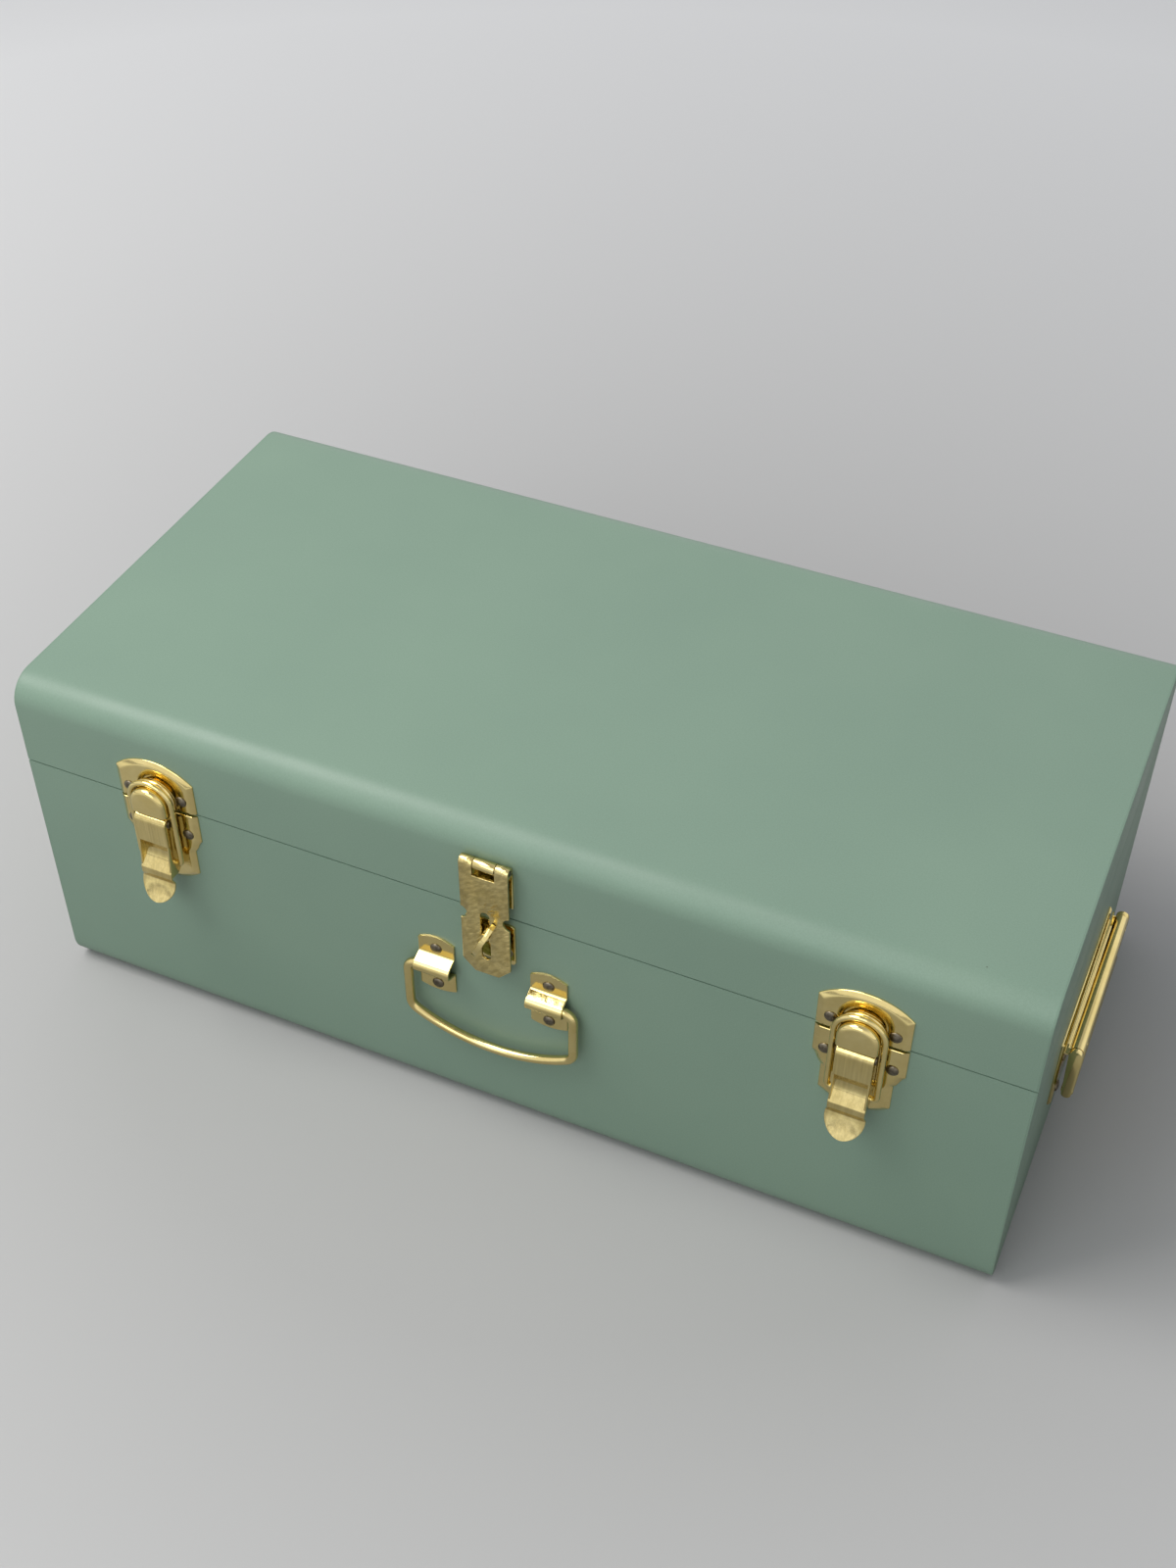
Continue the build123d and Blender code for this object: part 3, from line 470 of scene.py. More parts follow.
def latch_plate(side, centre):
    """A pan and its two ears."""
    profile = [(EAR_BURR, 0), (0, EAR_BURR), (0, EAR_SHEET - EAR_BURR), (EAR_BURR, EAR_SHEET)]
    grids = [put("front", plate_grid(plate_outline(), PAN_LEVELS, flat=PLATE_TOP), centre)]
    grids += [upright_plate(ear_outline(), low, profile, centre) for low in EAR_SIDES]
    return add_piece("latch_plate_" + side, grids, "base")


plates = [latch_plate(side, centre) for side, centre in LATCH_CENTRES.items()]

# %% [markdown]
# ## The toggle levers
# The lever is one strip: a rounded head over its pin, a flat face, a dip, a ridge and a flared
# tongue with a round tip. The line gives the bends, and the width follows a half circle at the
# tip. Two side walls stand behind it. Its pin is a turned piece with a low head at each end.

# %% Levers and pins
TIP_LOW, TIP_HALF, TIP_PROUD, ROOT = 90.0, 9.2, 17.0, (11.4, 101.0)
HEAD, FACE, DIP = [(6.5, 140.9), (10.5, 140.9)], (10.5, 124.5), (7.0, 117.2)
RIDGE = [(12.4, 107.6), (12.4, 104.2)]
LEVER_BENDS = [3.99, 1.0, 9.0, 1.2, 0.8, 0.7]
LEVER_SHEET, LEVER_EDGE, LEVER_HALF = 0.9, 0.28, 8.5
CURL, CROWN = 1.12, 0.9
WALL_SIDES, WALL_BACK, WALL_HEAD = (-8.44, 7.54), (2.5, 107.0), 3.6
WALL_FRONT = [(10.2, 124.5), (11.9, 107.4), (11.7, 104.6), (6.0, 104.2)]
WALL_PROFILE = [(0.2, 0), (0.06, 0.06), (0, 0.2), (0, 0.7), (0.06, 0.84), (0.2, 0.9)]
PIN_HEAD = [(0.01, 9.3), (1.5, 9.28), (2.0, 9.15), (2.2, 8.95), (2.2, 8.6), (1.5, 8.6)]


def lever_line():
    """The outside of the strip, from over the pin to where the round tip begins, then by angle."""
    start = (tongue_curl(TIP_LOW + TIP_HALF), TIP_LOW + TIP_HALF)
    line = rounded_line([*HEAD, FACE, DIP, *RIDGE, ROOT, start], LEVER_BENDS, step=0.5)
    turn = np.radians(np.linspace(4, 89.2, 22))
    tip_up = start[1] - TIP_HALF * np.sin(turn)
    return np.concatenate([line, np.stack([tongue_curl(tip_up), tip_up], axis=-1)])


def tongue_curl(up):
    """The tongue bends outward as it goes down: proud = root + rise * share of the way ^ curl."""
    share = (ROOT[1] - up) / (ROOT[1] - TIP_LOW)
    return ROOT[0] + (TIP_PROUD - ROOT[0]) * share**CURL


def lever_width(up):
    """Half-width at a height: the flat part, a small step out to the tongue, and the round tip."""
    tongue = np.interp(up, [ROOT[1] - 0.3, ROOT[1] + 1.7], [TIP_HALF, LEVER_HALF])
    drop = np.clip((TIP_LOW + TIP_HALF - up) / TIP_HALF, 0, 1)
    return tongue * np.sqrt(1 - drop**2)


def lever_strip():
    """Across = the section's own rounded edge, carried out to the half-width of each station. The
    tongue is crowned: it falls back by crown * (across / half) ^ 2."""
    line = lever_line()
    section = dense(strip_section(1.0, LEVER_SHEET, LEVER_EDGE), 0.16)
    _, up, proud = bent_strip(line, section)
    flat = 1.0 - LEVER_EDGE
    reach = np.abs(section[:, 0])
    flat_half = np.clip(lever_width(line[:, 1])[:, None] - LEVER_EDGE, 0.005, None)
    half = flat_half * np.clip(reach / flat, 0, 1) + np.clip(reach - flat, 0, None)
    across = np.sign(section[:, 0]) * half
    crown = np.interp(up, [ROOT[1] - 7, ROOT[1]], [CROWN, 0])
    return across, up, proud - crown * (across / TIP_HALF) ** 2


def lever(side, centre):
    """The strip and the two walls behind it. The wire loop's ends turn in through these walls."""
    head = arc(LEVER_PIVOT, WALL_HEAD, 180, 0, 24)
    wall = dense(np.concatenate([[WALL_BACK], head, WALL_FRONT]), 0.7)
    grids = [put("front", lever_strip(), centre)]
    grids += [upright_plate(wall, low, WALL_PROFILE, centre) for low in WALL_SIDES]
    return add_piece("latch_lever_" + side, grids, "lever_" + side)


def latch_pin(side, centre):
    """A shaft with a low domed head at each end, given as (radius, place) for one half."""
    stations = [(-place, radius) for radius, place in PIN_HEAD]
    stations += [(place, radius) for radius, place in PIN_HEAD[::-1]]
    grid = put("front", turned(stations, LEVER_PIVOT[::-1], "across"), centre)
    return add_piece("latch_pin_" + side, [grid], "base")


levers = [lever(side, centre) for side, centre in LATCH_CENTRES.items()]
pins = [latch_pin(side, centre) for side, centre in LATCH_CENTRES.items()]

# %% [markdown]
# ## Wire loops and the front bail
# A wire is a circle carried along a line. The loop's two ends turn in through the lever's walls,
# and the bail's two ends lie in the brackets, so both lines start and end with a short inward
# run. A curve object with a bevel would look the same, but a grid keeps its ends closed.

# %% Loops and bail
LOOP_HALF, LOOP_END, LOOP_LOW, LOOP_BEND = 11.3, 6.2, 111, 2.2
LOOP_WIRE, LOOP_PROUD = 1.4, 6.2
BAIL_AXIS, BAIL_LOW, BAIL_HALF, BAIL_BOW = 96.6, 65.1, 42.6, 12.4
BAIL_END, BAIL_BENDS = 22, [6, 7]
BAIL_WIRE, BAIL_PROUD, BAIL_SIDES = 2.35, 4.6, 28
GRIP_POINTS, GRIP_TAKEN = 91, 7


def loop_line():
    """From one inward end, up the leg and over the arch, and the mirror image back down."""
    corners = [(-LOOP_END, LOOP_LOW), (-LOOP_HALF, LOOP_LOW), (-LOOP_HALF, ARCH_CENTRE)]
    leg = rounded_line(corners, [LOOP_BEND], step=1.5)
    arch = arc((0, ARCH_CENTRE), LOOP_HALF, 180, 90, 20)[1:]
    half = np.concatenate([leg, arch])
    return np.concatenate([half, half[-2::-1] * [-1, 1]])


def wire_loop(side, centre):
    """The loop hangs on the lever's walls and arches over the keeper's boss."""
    grid = put("front", wire(loop_line(), LOOP_WIRE, LOOP_PROUD), centre)
    return add_piece("latch_loop_" + side, [grid], "loop_" + side)


def bail_line():
    """Half of it is an inward end, an arm and a rounded corner. Between the halves the grip is a
    shallow arc, and each rounded corner takes up a few of the arc's points."""
    ends = (BAIL_HALF, BAIL_LOW), (0, BAIL_LOW - BAIL_BOW), (-BAIL_HALF, BAIL_LOW)
    grip = through(*ends, GRIP_POINTS)
    arm = [(BAIL_END, BAIL_AXIS), (BAIL_HALF, BAIL_AXIS), (BAIL_HALF, BAIL_LOW)]
    half = rounded_line([*arm, grip[GRIP_TAKEN]], BAIL_BENDS, step=1.2)
    middle = grip[GRIP_TAKEN + 1 : -GRIP_TAKEN - 1]
    return np.concatenate([half, middle, half[::-1] * [-1, 1]])


loops = [wire_loop(side, centre) for side, centre in LATCH_CENTRES.items()]
bail_grid = put("front", wire(bail_line(), BAIL_WIRE, BAIL_PROUD, BAIL_SIDES))
front_bail = add_piece("front_bail", [bail_grid], "front_bail")

# %% [markdown]
# ## The brackets of the front handle
# Each bracket is one strip: a flange, a half-round band over the bail, and a second flange. The
# band's two sides lean, and touch the same circle about the wire as its front. The strip's top
# and foot are bowed, so the ends of the grid are stretched by a parabola across the width. That
# is simpler than cutting the bow out of a flat strip.

# %% Brackets
BRACKETS = {"left": -28.8, "right": 28.8}
BRACKET_HALF, BRACKET_SHEET, BRACKET_EDGE = 9.3, 1.2, 0.35
BAND_PROUD, BAND_ROOT, BAND_SHOULDER = 8.45, 5.35, 2.68
BAND_BENDS = [1.2, 3.75, 3.75, 1.2]
TOP_SIDE, TOP_BOW, TOP_FROM = 110.5, 3.0, 104
FOOT_CORNER, FOOT_BOW, FOOT_FROM = 79.8, 1.8, 88


def bracket(side, centre):
    """Ends reach up or down by bow * (1 - t^2), where t is the place across / the half-width."""
    upper_end, lower_end = TOP_SIDE + TOP_BOW, FOOT_CORNER - FOOT_BOW
    corners = [
        (BRACKET_SHEET, upper_end),
        (BRACKET_SHEET, BAIL_AXIS + BAND_ROOT),
        (BAND_PROUD, BAIL_AXIS + BAND_SHOULDER),
        (BAND_PROUD, BAIL_AXIS - BAND_SHOULDER),
        (BRACKET_SHEET, BAIL_AXIS - BAND_ROOT),
        (BRACKET_SHEET, lower_end),
    ]
    section = dense(strip_section(BRACKET_HALF, BRACKET_SHEET, BRACKET_EDGE), 1.2)
    across, up, proud = bent_strip(rounded_line(corners, BAND_BENDS, step=0.6), section)
    bow = 1 - (across / BRACKET_HALF) ** 2
    top, foot = TOP_SIDE + TOP_BOW * bow, FOOT_CORNER - FOOT_BOW * bow
    stretched = TOP_FROM + (up - TOP_FROM) * (top - TOP_FROM) / (upper_end - TOP_FROM)
    up = np.where(up > TOP_FROM, stretched, up)
    stretched = FOOT_FROM - (FOOT_FROM - up) * (FOOT_FROM - foot) / (FOOT_FROM - lower_end)
    up = np.where(up < FOOT_FROM, stretched, up)
    grid = put("front", (across, up, proud), centre)
    return add_piece("front_bracket_" + side, [grid], "base")


brackets = [bracket(side, centre) for side, centre in BRACKETS.items()]

# %% [markdown]
# ## Rivets
# A rivet is a turned piece: a domed head outside, a shank through the sheet, and a tail inside.
# One function gives the row of radii. Each set is rows of rivets, every row with its walls, its
# centres, how far the rivets stand to each side of a centre, and its heights. A domed head is
# higher than a flat one, and the seat is the face of the plate that the head sits on.

# %% Rivets
HEAD_RADIUS, SHANK_RADIUS, GRIP = 3.0, 1.6, 0.8
TAIL = [(1.6, 0.01), (1.6, 1.7), (1.35, 2.2), (0.1, 2.4), (0, 2.4), (0, SHANK_RADIUS)]
HEAD_FOOT = 2.94
DOMED, FLAT = 1.3, 0.9
HINGES = (-150, 150)


def rivet_stations(seat, head_height):
    """Radii from the tail to the head. The head is radius * cos by height * sin of one angle."""
    tail = [(-GRIP - length, radius) for length, radius in TAIL]
    turn = np.radians(np.linspace(8, 89.5, 9))
    dome = np.stack([seat + head_height * np.sin(turn), HEAD_RADIUS * np.cos(turn)], axis=-1)
    return tail + [(seat, SHANK_RADIUS), (seat, HEAD_FOOT)] + dome.tolist()


def rivet_set(node, body, seat, head_height, walls, centres, offset, heights):
    """Every combination of wall, centre, side and height holds one rivet of the set."""
    shape = rivet_stations(seat, head_height)
    grids = [
        put(wall, turned(shape, (centre + way * offset, up), "out", 24))
        for wall in walls
        for centre in centres
        for way in BOTH_WAYS
        for up in heights
    ]
    return add_piece(node, grids, body)


latches, handle = list(LATCH_CENTRES.values()), BRACKETS["right"]
rivets = [
    rivet_set("latch_keeper_rivets", "lid", 2.0, DOMED, ["front"], latches, 14.2, [149.6]),
    rivet_set("latch_plate_rivets", "base", 2.0, DOMED, ["front"], latches, 15, [128.6]),
    rivet_set("hasp_leaf_rivets", "lid", 1.2, FLAT, ["front"], [0], 7, [157.5]),
    rivet_set("staple_rivets", "base", 1.3, FLAT, ["front"], [0], 8.4, [120.5]),
    rivet_set("front_handle_rivets", "base", 1.2, DOMED, ["front"], [0], handle, [82.6, 106.3]),
    rivet_set("hinge_base_rivets", "base", 1.2, FLAT, ["back"], HINGES, 17, [127]),
    rivet_set("hinge_lid_rivets", "lid", 1.2, FLAT, ["back"], HINGES, 17, [157]),
    rivet_set("side_handle_rivets", "base", 1.6, DOMED, SIDES, [0], 40, [52, 74]),
]

# %% [markdown]
# ## Pieces that only need softer edges
# The hasp, its staple, the hinges and the end handles already have their true shape in the packed
# solids. Their edges are mathematically sharp, and light never catches a sharp edge. A copy of
# each has its flat faces merged and then a narrow bevel, which gives the thin bright line that
# stamped metal shows.

# %% Softened copies
BEVEL_FROM, LEVEL_WITHIN = math.radians(35), math.radians(1)
SAME_CORNER = 2e-7


def softened(node, body, width):
    """A copy of a solid's mesh, merged, with every sharp edge cut back by the width."""
    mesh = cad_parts[node].data.copy()
    work = bmesh.new()
    work.from_mesh(mesh)
    bmesh.ops.remove_doubles(work, verts=work.verts, dist=SAME_CORNER)
    bmesh.ops.dissolve_limit(work, angle_limit=LEVEL_WITHIN, verts=work.verts, edges=work.edges)
    work.to_mesh(mesh)
    work.free()
    mesh.shade_smooth()
    piece = bpy.data.objects.new(node + "_skin", mesh)
    bpy.context.scene.collection.objects.link(piece)
    bevel = piece.modifiers.new("edge", "BEVEL")
    bevel.width = width * MM
    bevel.segments = 2
    bevel.limit_method = "ANGLE"
    bevel.angle_limit = BEVEL_FROM
    bevel.harden_normals = True
    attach(piece, body)
    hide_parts(node)
    print(piece.name, len(mesh.polygons), "faces before the bevel")
    return piece


hasp = [
    softened("hasp_strap", "strap", 0.25),
    softened("hasp_leaf", "lid", 0.2),
    softened("staple_plate", "base", 0.25),
    softened("turn_staple", "staple", 0.4),
]
hasp_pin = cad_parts["hasp_pin"]
side_handles, hinges = [], []
for side in SIDES:
    side_handles.append(softened("side_plate_" + side, "base", 0.2))
    side_handles.append(softened("side_bail_" + side, "side_bail_" + side, 0.35))
for side in SIDES:
    hinges.append(softened("hinge_base_leaf_" + side, "base", 0.2))
    hinges.append(softened("hinge_lid_leaf_" + side, "lid", 0.2))
hinge_pins = [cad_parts["hinge_pin_" + side] for side in SIDES]

# %% [markdown]
# ## Building a finish from nodes
# Each finish is one Principled shader with a little noise behind its colour, its roughness and
# its bump. All patterns read Object coordinates, which are the row's own metres, so a scale of
# 1000 means one feature in each millimetre, and nothing slides when a joint moves.

# %% Finish helpers
def new_finish(name):
    """A fresh material, its node tree's two lists, its shader and its place in the object."""
    finish = bpy.data.materials.new(name)
    finish.use_nodes = True
    nodes, links = finish.node_tree.nodes, finish.node_tree.links
    shader = nodes["Principled BSDF"]
    place = nodes.new("ShaderNodeTexCoord").outputs["Object"]
    return finish, nodes, links, shader, place


def noise(nodes, links, place, scale, detail=2.0, roughness=0.5, stretch=None, lean=0.0):
    """Noise in object space. A stretch makes the features longer along each axis, and a lean first
    turns those axes about the depth of the room."""
    texture = nodes.new("ShaderNodeTexNoise")
    texture.inputs["Scale"].default_value = scale
    texture.inputs["Detail"].default_value = detail
    texture.inputs["Roughness"].default_value = roughness
    if stretch is None:
        links.new(place, texture.inputs["Vector"])
    else:
        mapping = nodes.new("ShaderNodeMapping")
        mapping.vector_type = "TEXTURE"
        mapping.inputs["Scale"].default_value = stretch
        mapping.inputs["Rotation"].default_value = (0, lean, 0)
        links.new(place, mapping.inputs["Vector"])
        links.new(mapping.outputs["Vector"], texture.inputs["Vector"])
    return texture.outputs["Fac"]


def remap(nodes, links, value, low, high, out_low, out_high):
    """Value between low and high becomes a value between out_low and out_high."""
    step = nodes.new("ShaderNodeMapRange")
    limits = {"From Min": low, "From Max": high, "To Min": out_low, "To Max": out_high}
    for name, number in limits.items():
        step.inputs[name].default_value = number
    links.new(value, step.inputs["Value"])
    return step.outputs["Result"]


def mix_colour(nodes, links, factor, first, second):
    """The first colour where the factor is 0 and the second where it is 1."""
    mix = nodes.new("ShaderNodeMix")
    mix.data_type = "RGBA"
    links.new(factor, mix.inputs["Factor"])
    for socket, colour in ((mix.inputs[6], first), (mix.inputs[7], second)):
        if isinstance(colour, tuple):
            socket.default_value = (*colour, 1)
        else:
            links.new(colour, socket)
    return mix.outputs[2]


def bump(nodes, links, height, distance, strength=1.0, under=None):
    """Tilts the surface as a relief of that height in metres would."""
    node = nodes.new("ShaderNodeBump")
    node.inputs["Strength"].default_value = strength
    node.inputs["Distance"].default_value = distance
    links.new(height, node.inputs["Height"])
    if under is not None:
        links.new(under, node.inputs["Normal"])
    return node.outputs["Normal"]


def wear(piece, finish):
    """Gives a piece, new or carried over from the solids, one finish."""
    if piece.data.materials:
        for index in range(len(piece.data.materials)):
            piece.material_slots[index].material = finish
    else:
        piece.data.materials.append(finish)


# %% [markdown]
# ## Sage powder coat
# Powder coat is sprayed dry and baked. It flows out satin, with a very fine orange peel about a
# third of a millimetre across, a slow waviness of the sheet under it, and hardly any change of
# colour. A few specks and a slightly uneven sheen keep it from looking like plastic.

# %% Powder coat
SAGE_DEEP, SAGE_LIGHT, SPECK = (0.205, 0.305, 0.232), (0.222, 0.326, 0.246), (0.09, 0.12, 0.09)
GRAIN_DARK, GRAIN_LIGHT = (0.92, 0.93, 0.92), (1.0, 1.0, 1.0)
PATCH_SCALE, GRAIN_SCALE, SPECK_SCALE = 9, 1500, 26
SHEEN_SCALE, WAVE_SCALE, PEEL_SCALE = 22, 7, 1300
WAVE_DEPTH, PEEL_DEPTH = 0.0006, 0.000012
coat, nodes, links, shader, place = new_finish("sage_powder_coat")
patches = remap(nodes, links, noise(nodes, links, place, PATCH_SCALE, 3), 0.3, 0.7, 0, 1)
grain = remap(nodes, links, noise(nodes, links, place, GRAIN_SCALE, 1), 0.3, 0.7, 0, 1)
colour = mix_colour(nodes, links, patches, SAGE_DEEP, SAGE_LIGHT)
speckle = mix_colour(nodes, links, grain, GRAIN_DARK, GRAIN_LIGHT)
blend = nodes.new("ShaderNodeMix")
blend.data_type = "RGBA"
blend.blend_type = "MULTIPLY"
blend.inputs["Factor"].default_value = 1
links.new(colour, blend.inputs[6])
links.new(speckle, blend.inputs[7])
specks = nodes.new("ShaderNodeTexVoronoi")
specks.inputs["Scale"].default_value = SPECK_SCALE
links.new(place, specks.inputs["Vector"])
dot = remap(nodes, links, specks.outputs["Distance"], 0.007, 0.011, 1, 0)
speckled = mix_colour(nodes, links, dot, blend.outputs[2], SPECK)
links.new(speckled, shader.inputs["Base Color"])
sheen = remap(nodes, links, noise(nodes, links, place, SHEEN_SCALE, 4), 0.25, 0.75, 0.38, 0.48)
links.new(sheen, shader.inputs["Roughness"])
shader.inputs["Specular IOR Level"].default_value = 0.45
sheet_wave = bump(nodes, links, noise(nodes, links, place, WAVE_SCALE, 1), WAVE_DEPTH, 0.5)
peel = noise(nodes, links, place, PEEL_SCALE, 2)
links.new(bump(nodes, links, peel, PEEL_DEPTH, 0.6, sheet_wave), shader.inputs["Normal"])
for piece in painted:
    wear(piece, coat)
print("painted pieces", len(painted))

# %% [markdown]
# ## Brass plate
# The hardware is thin steel with a bright pale brass plating. It is almost a mirror, but pressed
# sheet is never flat: shallow waves a few millimetres across bend every reflection. Fine drawing
# lines run up and down the flats, and the plating is a little warmer in places. Its darker patches
# are partly uneven tarnish and partly painted reflection. The levers are drawn more strongly, with
# painted dark streaks along the drawing, and the hasp's strap is beaten all over in slanting
# dimples, with painted shade that follows the dimples.

# %% Brass
BRASS_WARM, BRASS_PALE, BRASS_TARNISH_AND_PAINTED_REFLECTION = (0.74, 0.59, 0.235), (0.83, 0.69, 0.32), (0.25, 0.19, 0.06)
EVEN, UPRIGHT, SLANTED = (1, 1, 1), (1, 1, 30), (1, 1, 2.2)
SLANT = math.radians(50)


def brass_finish(name, wave, lines, rough, mottle):
    """Wave, lines and mottle are each (depth, feature scale, stretch, lean) of one noise. The
    depth is a relief in metres for the first two and, for the third, a darkening of the colour
    that is partly tarnish and partly painted reflection."""
    finish, nodes, links, shader, place = new_finish(name)
    tint = remap(nodes, links, noise(nodes, links, place, 60, 4, 0.6), 0.3, 0.7, 0, 1)
    colour = mix_colour(nodes, links, tint, BRASS_WARM, BRASS_PALE)
    depth, scale, stretch, lean = mottle
    # Darker patches in the colour: partly tarnish, partly painted reflection of the sheet's relief.
    patches = noise(nodes, links, place, scale, 2, 0.6, stretch, lean)
    shade = remap(nodes, links, patches, 0.38, 0.62, depth, 0)
    links.new(mix_colour(nodes, links, shade, colour, BRASS_TARNISH_AND_PAINTED_REFLECTION), shader.inputs["Base Color"])
    shader.inputs["Metallic"].default_value = 1
    smear = noise(nodes, links, place, 150, 5, 0.65)
    links.new(remap(nodes, links, smear, 0.3, 0.7, *rough), shader.inputs["Roughness"])
    relief = None
    for depth, scale, stretch, lean in (wave, lines):
        height = noise(nodes, links, place, scale, 2, 0.5, stretch, lean)
        relief = bump(nodes, links, height, depth, 1.0, relief)
    links.new(relief, shader.inputs["Normal"])
    return finish


bright = brass_finish(
    "bright_brass",
    wave=(0.00004, 250, EVEN, 0),
    lines=(0.000002, 900, UPRIGHT, 0),
    rough=(0.06, 0.15),
    mottle=(0.06, 200, EVEN, 0),
)
# The drawn brass's dark upright streaks are painted reflection along the drawing, with some
# tarnish.
drawn = brass_finish(
    "drawn_brass",
    wave=(0.00005, 250, EVEN, 0),
    lines=(0.000005, 900, UPRIGHT, 0),
    rough=(0.09, 0.2),
    mottle=(0.25, 700, UPRIGHT, 0),
)
# The beaten brass's dark patches share the dimples' noise: painted shade in the dimples, with some
# tarnish.
beaten = brass_finish(
    "beaten_brass",
    wave=(0.0004, 560, SLANTED, SLANT),
    lines=(0.000002, 900, UPRIGHT, 0),
    rough=(0.14, 0.26),
    mottle=(0.42, 560, SLANTED, SLANT),
)
strap, *hasp_rest = hasp
plain_brass = keepers + plates + loops + brackets + [front_bail] + side_handles + hinges + hasp_rest
for piece in plain_brass:
    wear(piece, bright)
for piece in levers:
    wear(piece, drawn)
wear(strap, beaten)
print("brass pieces", len(plain_brass + levers) + 1)

# %% [markdown]
# ## Rivet steel
# The rivets and pins are dull brown-grey steel. They are small, so a soft mottling of colour and
# roughness at about a millimetre is all that shows.

# %% Rivet steel
STEEL_DARK, STEEL_LIGHT = (0.10, 0.085, 0.062), (0.22, 0.19, 0.14)
MOTTLE_SCALE, DENT_SCALE, DENT_DEPTH = 700, 1100, 0.00002
steel, nodes, links, shader, place = new_finish("rivet_steel")
mottle = remap(nodes, links, noise(nodes, links, place, MOTTLE_SCALE, 3), 0.3, 0.7, 0, 1)
colour = mix_colour(nodes, links, mottle, STEEL_DARK, STEEL_LIGHT)
links.new(colour, shader.inputs["Base Color"])
shader.inputs["Metallic"].default_value = 1
links.new(remap(nodes, links, mottle, 0, 1, 0.28, 0.42), shader.inputs["Roughness"])
dents = noise(nodes, links, place, DENT_SCALE, 2)
links.new(bump(nodes, links, dents, DENT_DEPTH), shader.inputs["Normal"])
for piece in rivets + pins + hinge_pins + [hasp_pin]:
    wear(piece, steel)
print("steel pieces", len(rivets + pins + hinge_pins) + 1)

# %% [markdown]
# ## The floor
# The trunk stands on a pale floor that is painted darker near the trunk, as painted shade, and
# grows lighter with distance. Shiny metal shows what lies before it, so mirrored rays get tones of
# their own for the floor: a painted reflection, darker still near the trunk.

# %% Floor
FLOOR_HALF, NEAR, FAR = 6, 0.25, 1.3
# Near the trunk the floor is painted darker as painted shade; mirrored rays see a darker floor
# still, a painted reflection.
SEEN_NEAR_PAINTED_SHADE, SEEN_FAR = (0.44, 0.435, 0.43), (0.84, 0.835, 0.83)
MIRRORED_NEAR_PAINTED_SHADE, MIRRORED_FAR = (0.31, 0.305, 0.295), (0.86, 0.86, 0.85)
quarters = ((-1, -1), (1, -1), (1, 1), (-1, 1))
floor_corners = [(x * FLOOR_HALF, y * FLOOR_HALF, 0) for x, y in quarters]
floor_mesh = bpy.data.meshes.new("floor")
floor_mesh.from_pydata(floor_corners, [], [(0, 1, 2, 3)])
floor = bpy.data.objects.new("floor", floor_mesh)
bpy.context.scene.collection.objects.link(floor)
floor_finish, nodes, links, shader, place = new_finish("floor_finish")
distance = nodes.new("ShaderNodeVectorMath")
distance.operation = "LENGTH"
links.new(place, distance.inputs[0])
# Painted shade on the floor: darkest within NEAR of the trunk's middle, lighter out to FAR.
tone = remap(nodes, links, distance.outputs["Value"], NEAR, FAR, 0, 1)
seen = mix_colour(nodes, links, tone, SEEN_NEAR_PAINTED_SHADE, SEEN_FAR)
mirrored = mix_colour(nodes, links, tone, MIRRORED_NEAR_PAINTED_SHADE, MIRRORED_FAR)
glossy = nodes.new("ShaderNodeLightPath").outputs["Is Glossy Ray"]
links.new(mix_colour(nodes, links, glossy, seen, mirrored), shader.inputs["Base Color"])
shader.inputs["Roughness"].default_value = 0.9
wear(floor, floor_finish)
print("floor", 2 * FLOOR_HALF, "m wide")

# %% [markdown]
# ## The world round the trunk
# The world is darker low down and to the right, so the right end of the trunk is the dark one. The
# camera sees one even backdrop, and mirrored rays see bands of sky: a dark horizon, a bright
# middle, and a duller part overhead.

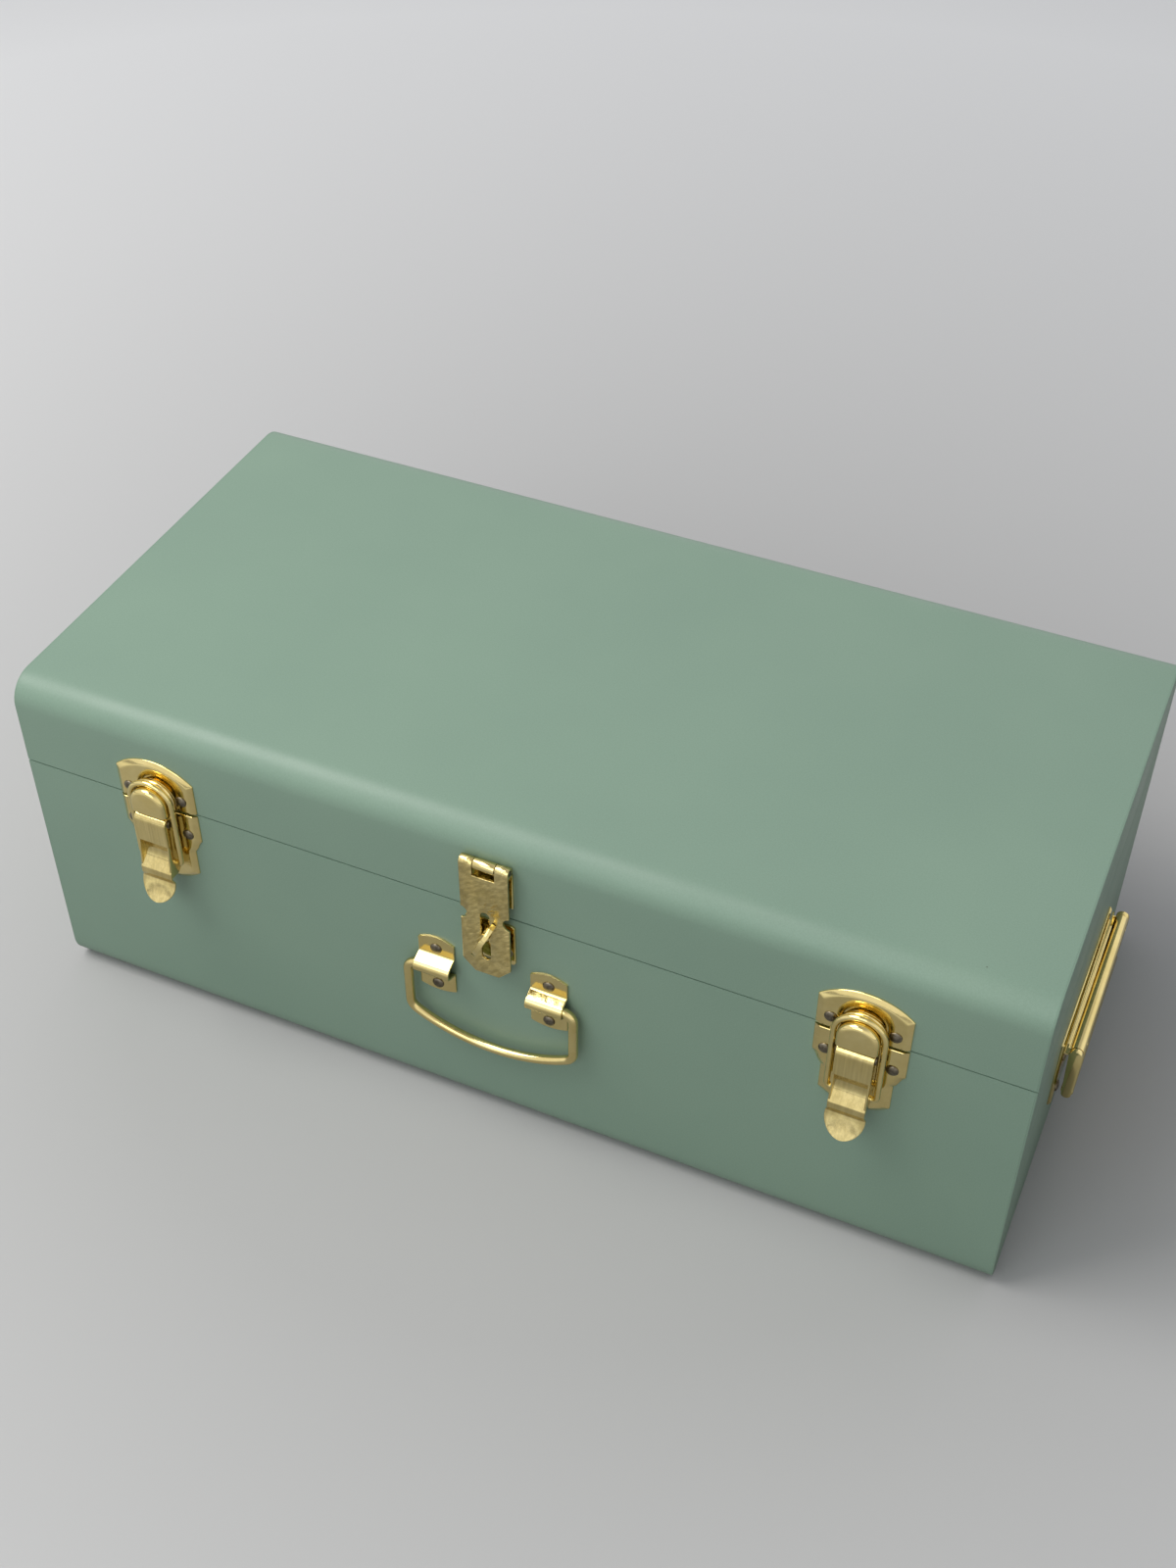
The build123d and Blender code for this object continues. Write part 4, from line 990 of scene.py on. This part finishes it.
# %% World
SKY_LOW, SKY_HIGH, SKY_RIGHT = (0.22, 0.225, 0.225), (0.66, 0.68, 0.72), (0.12, 0.12, 0.12)
BACKDROP = (0.86, 0.87, 0.88)
MIRRORED_SKY = ((0.005, 0.45), (0.04, 1.0), (0.60, 1.0), (0.74, 0.8), (0.92, 0.5))
world = bpy.data.worlds.new("world")
bpy.context.scene.world = world
world.use_nodes = True
nodes, links = world.node_tree.nodes, world.node_tree.links
direction = nodes.new("ShaderNodeSeparateXYZ")
links.new(nodes.new("ShaderNodeTexCoord").outputs["Generated"], direction.inputs["Vector"])
height = remap(nodes, links, direction.outputs["Z"], 0.05, 0.8, 0, 1)
sky = mix_colour(nodes, links, height, SKY_LOW, SKY_HIGH)
to_right = remap(nodes, links, direction.outputs["X"], 0.1, 0.8, 0, 1)
sky = mix_colour(nodes, links, to_right, sky, SKY_RIGHT)
mirror_sky = nodes.new("ShaderNodeValToRGB")
stops = mirror_sky.color_ramp.elements
for place_up, grey in MIRRORED_SKY:
    stops.new(place_up).color = (grey, grey, grey, 1)
stops.remove(stops[0])
stops.remove(stops[-1])
links.new(direction.outputs["Z"], mirror_sky.inputs["Fac"])
rays = nodes.new("ShaderNodeLightPath")
sky = mix_colour(nodes, links, rays.outputs["Is Glossy Ray"], sky, mirror_sky.outputs["Color"])
sky = mix_colour(nodes, links, rays.outputs["Is Camera Ray"], sky, BACKDROP)
links.new(sky, nodes["Background"].inputs["Color"])
nodes["Background"].inputs["Strength"].default_value = 1.0
print("mirrored sky stops", len(stops))

# %% [markdown]
# ## Two soft lamps
# One broad lamp hangs over the trunk's left front, as a window would, and a weaker one stands
# before it and fills its shadows. Their colours differ slightly, as daylight's do.

# %% Lamps
TRUNK_MIDDLE = (0, 0, 0.1)


def soft_lamp(name, place, size, power, colour):
    """A square area lamp that faces the middle of the trunk."""
    lamp = bpy.data.lights.new(name, "AREA")
    lamp.size = size
    lamp.energy = power
    lamp.color = colour
    thing = bpy.data.objects.new(name, lamp)
    thing.matrix_world = looking(place, TRUNK_MIDDLE)
    bpy.context.scene.collection.objects.link(thing)
    return thing


window = soft_lamp("window", (-0.9, -0.5, 1.7), size=1.1, power=23, colour=(1.0, 0.985, 0.96))
fill = soft_lamp("fill", (-0.3, -2.0, 1.6), size=1.5, power=11.5, colour=(0.94, 1.0, 0.98))
bpy.context.scene.view_settings.view_transform = "Standard"
print("lamps", window.data.energy, fill.data.energy)
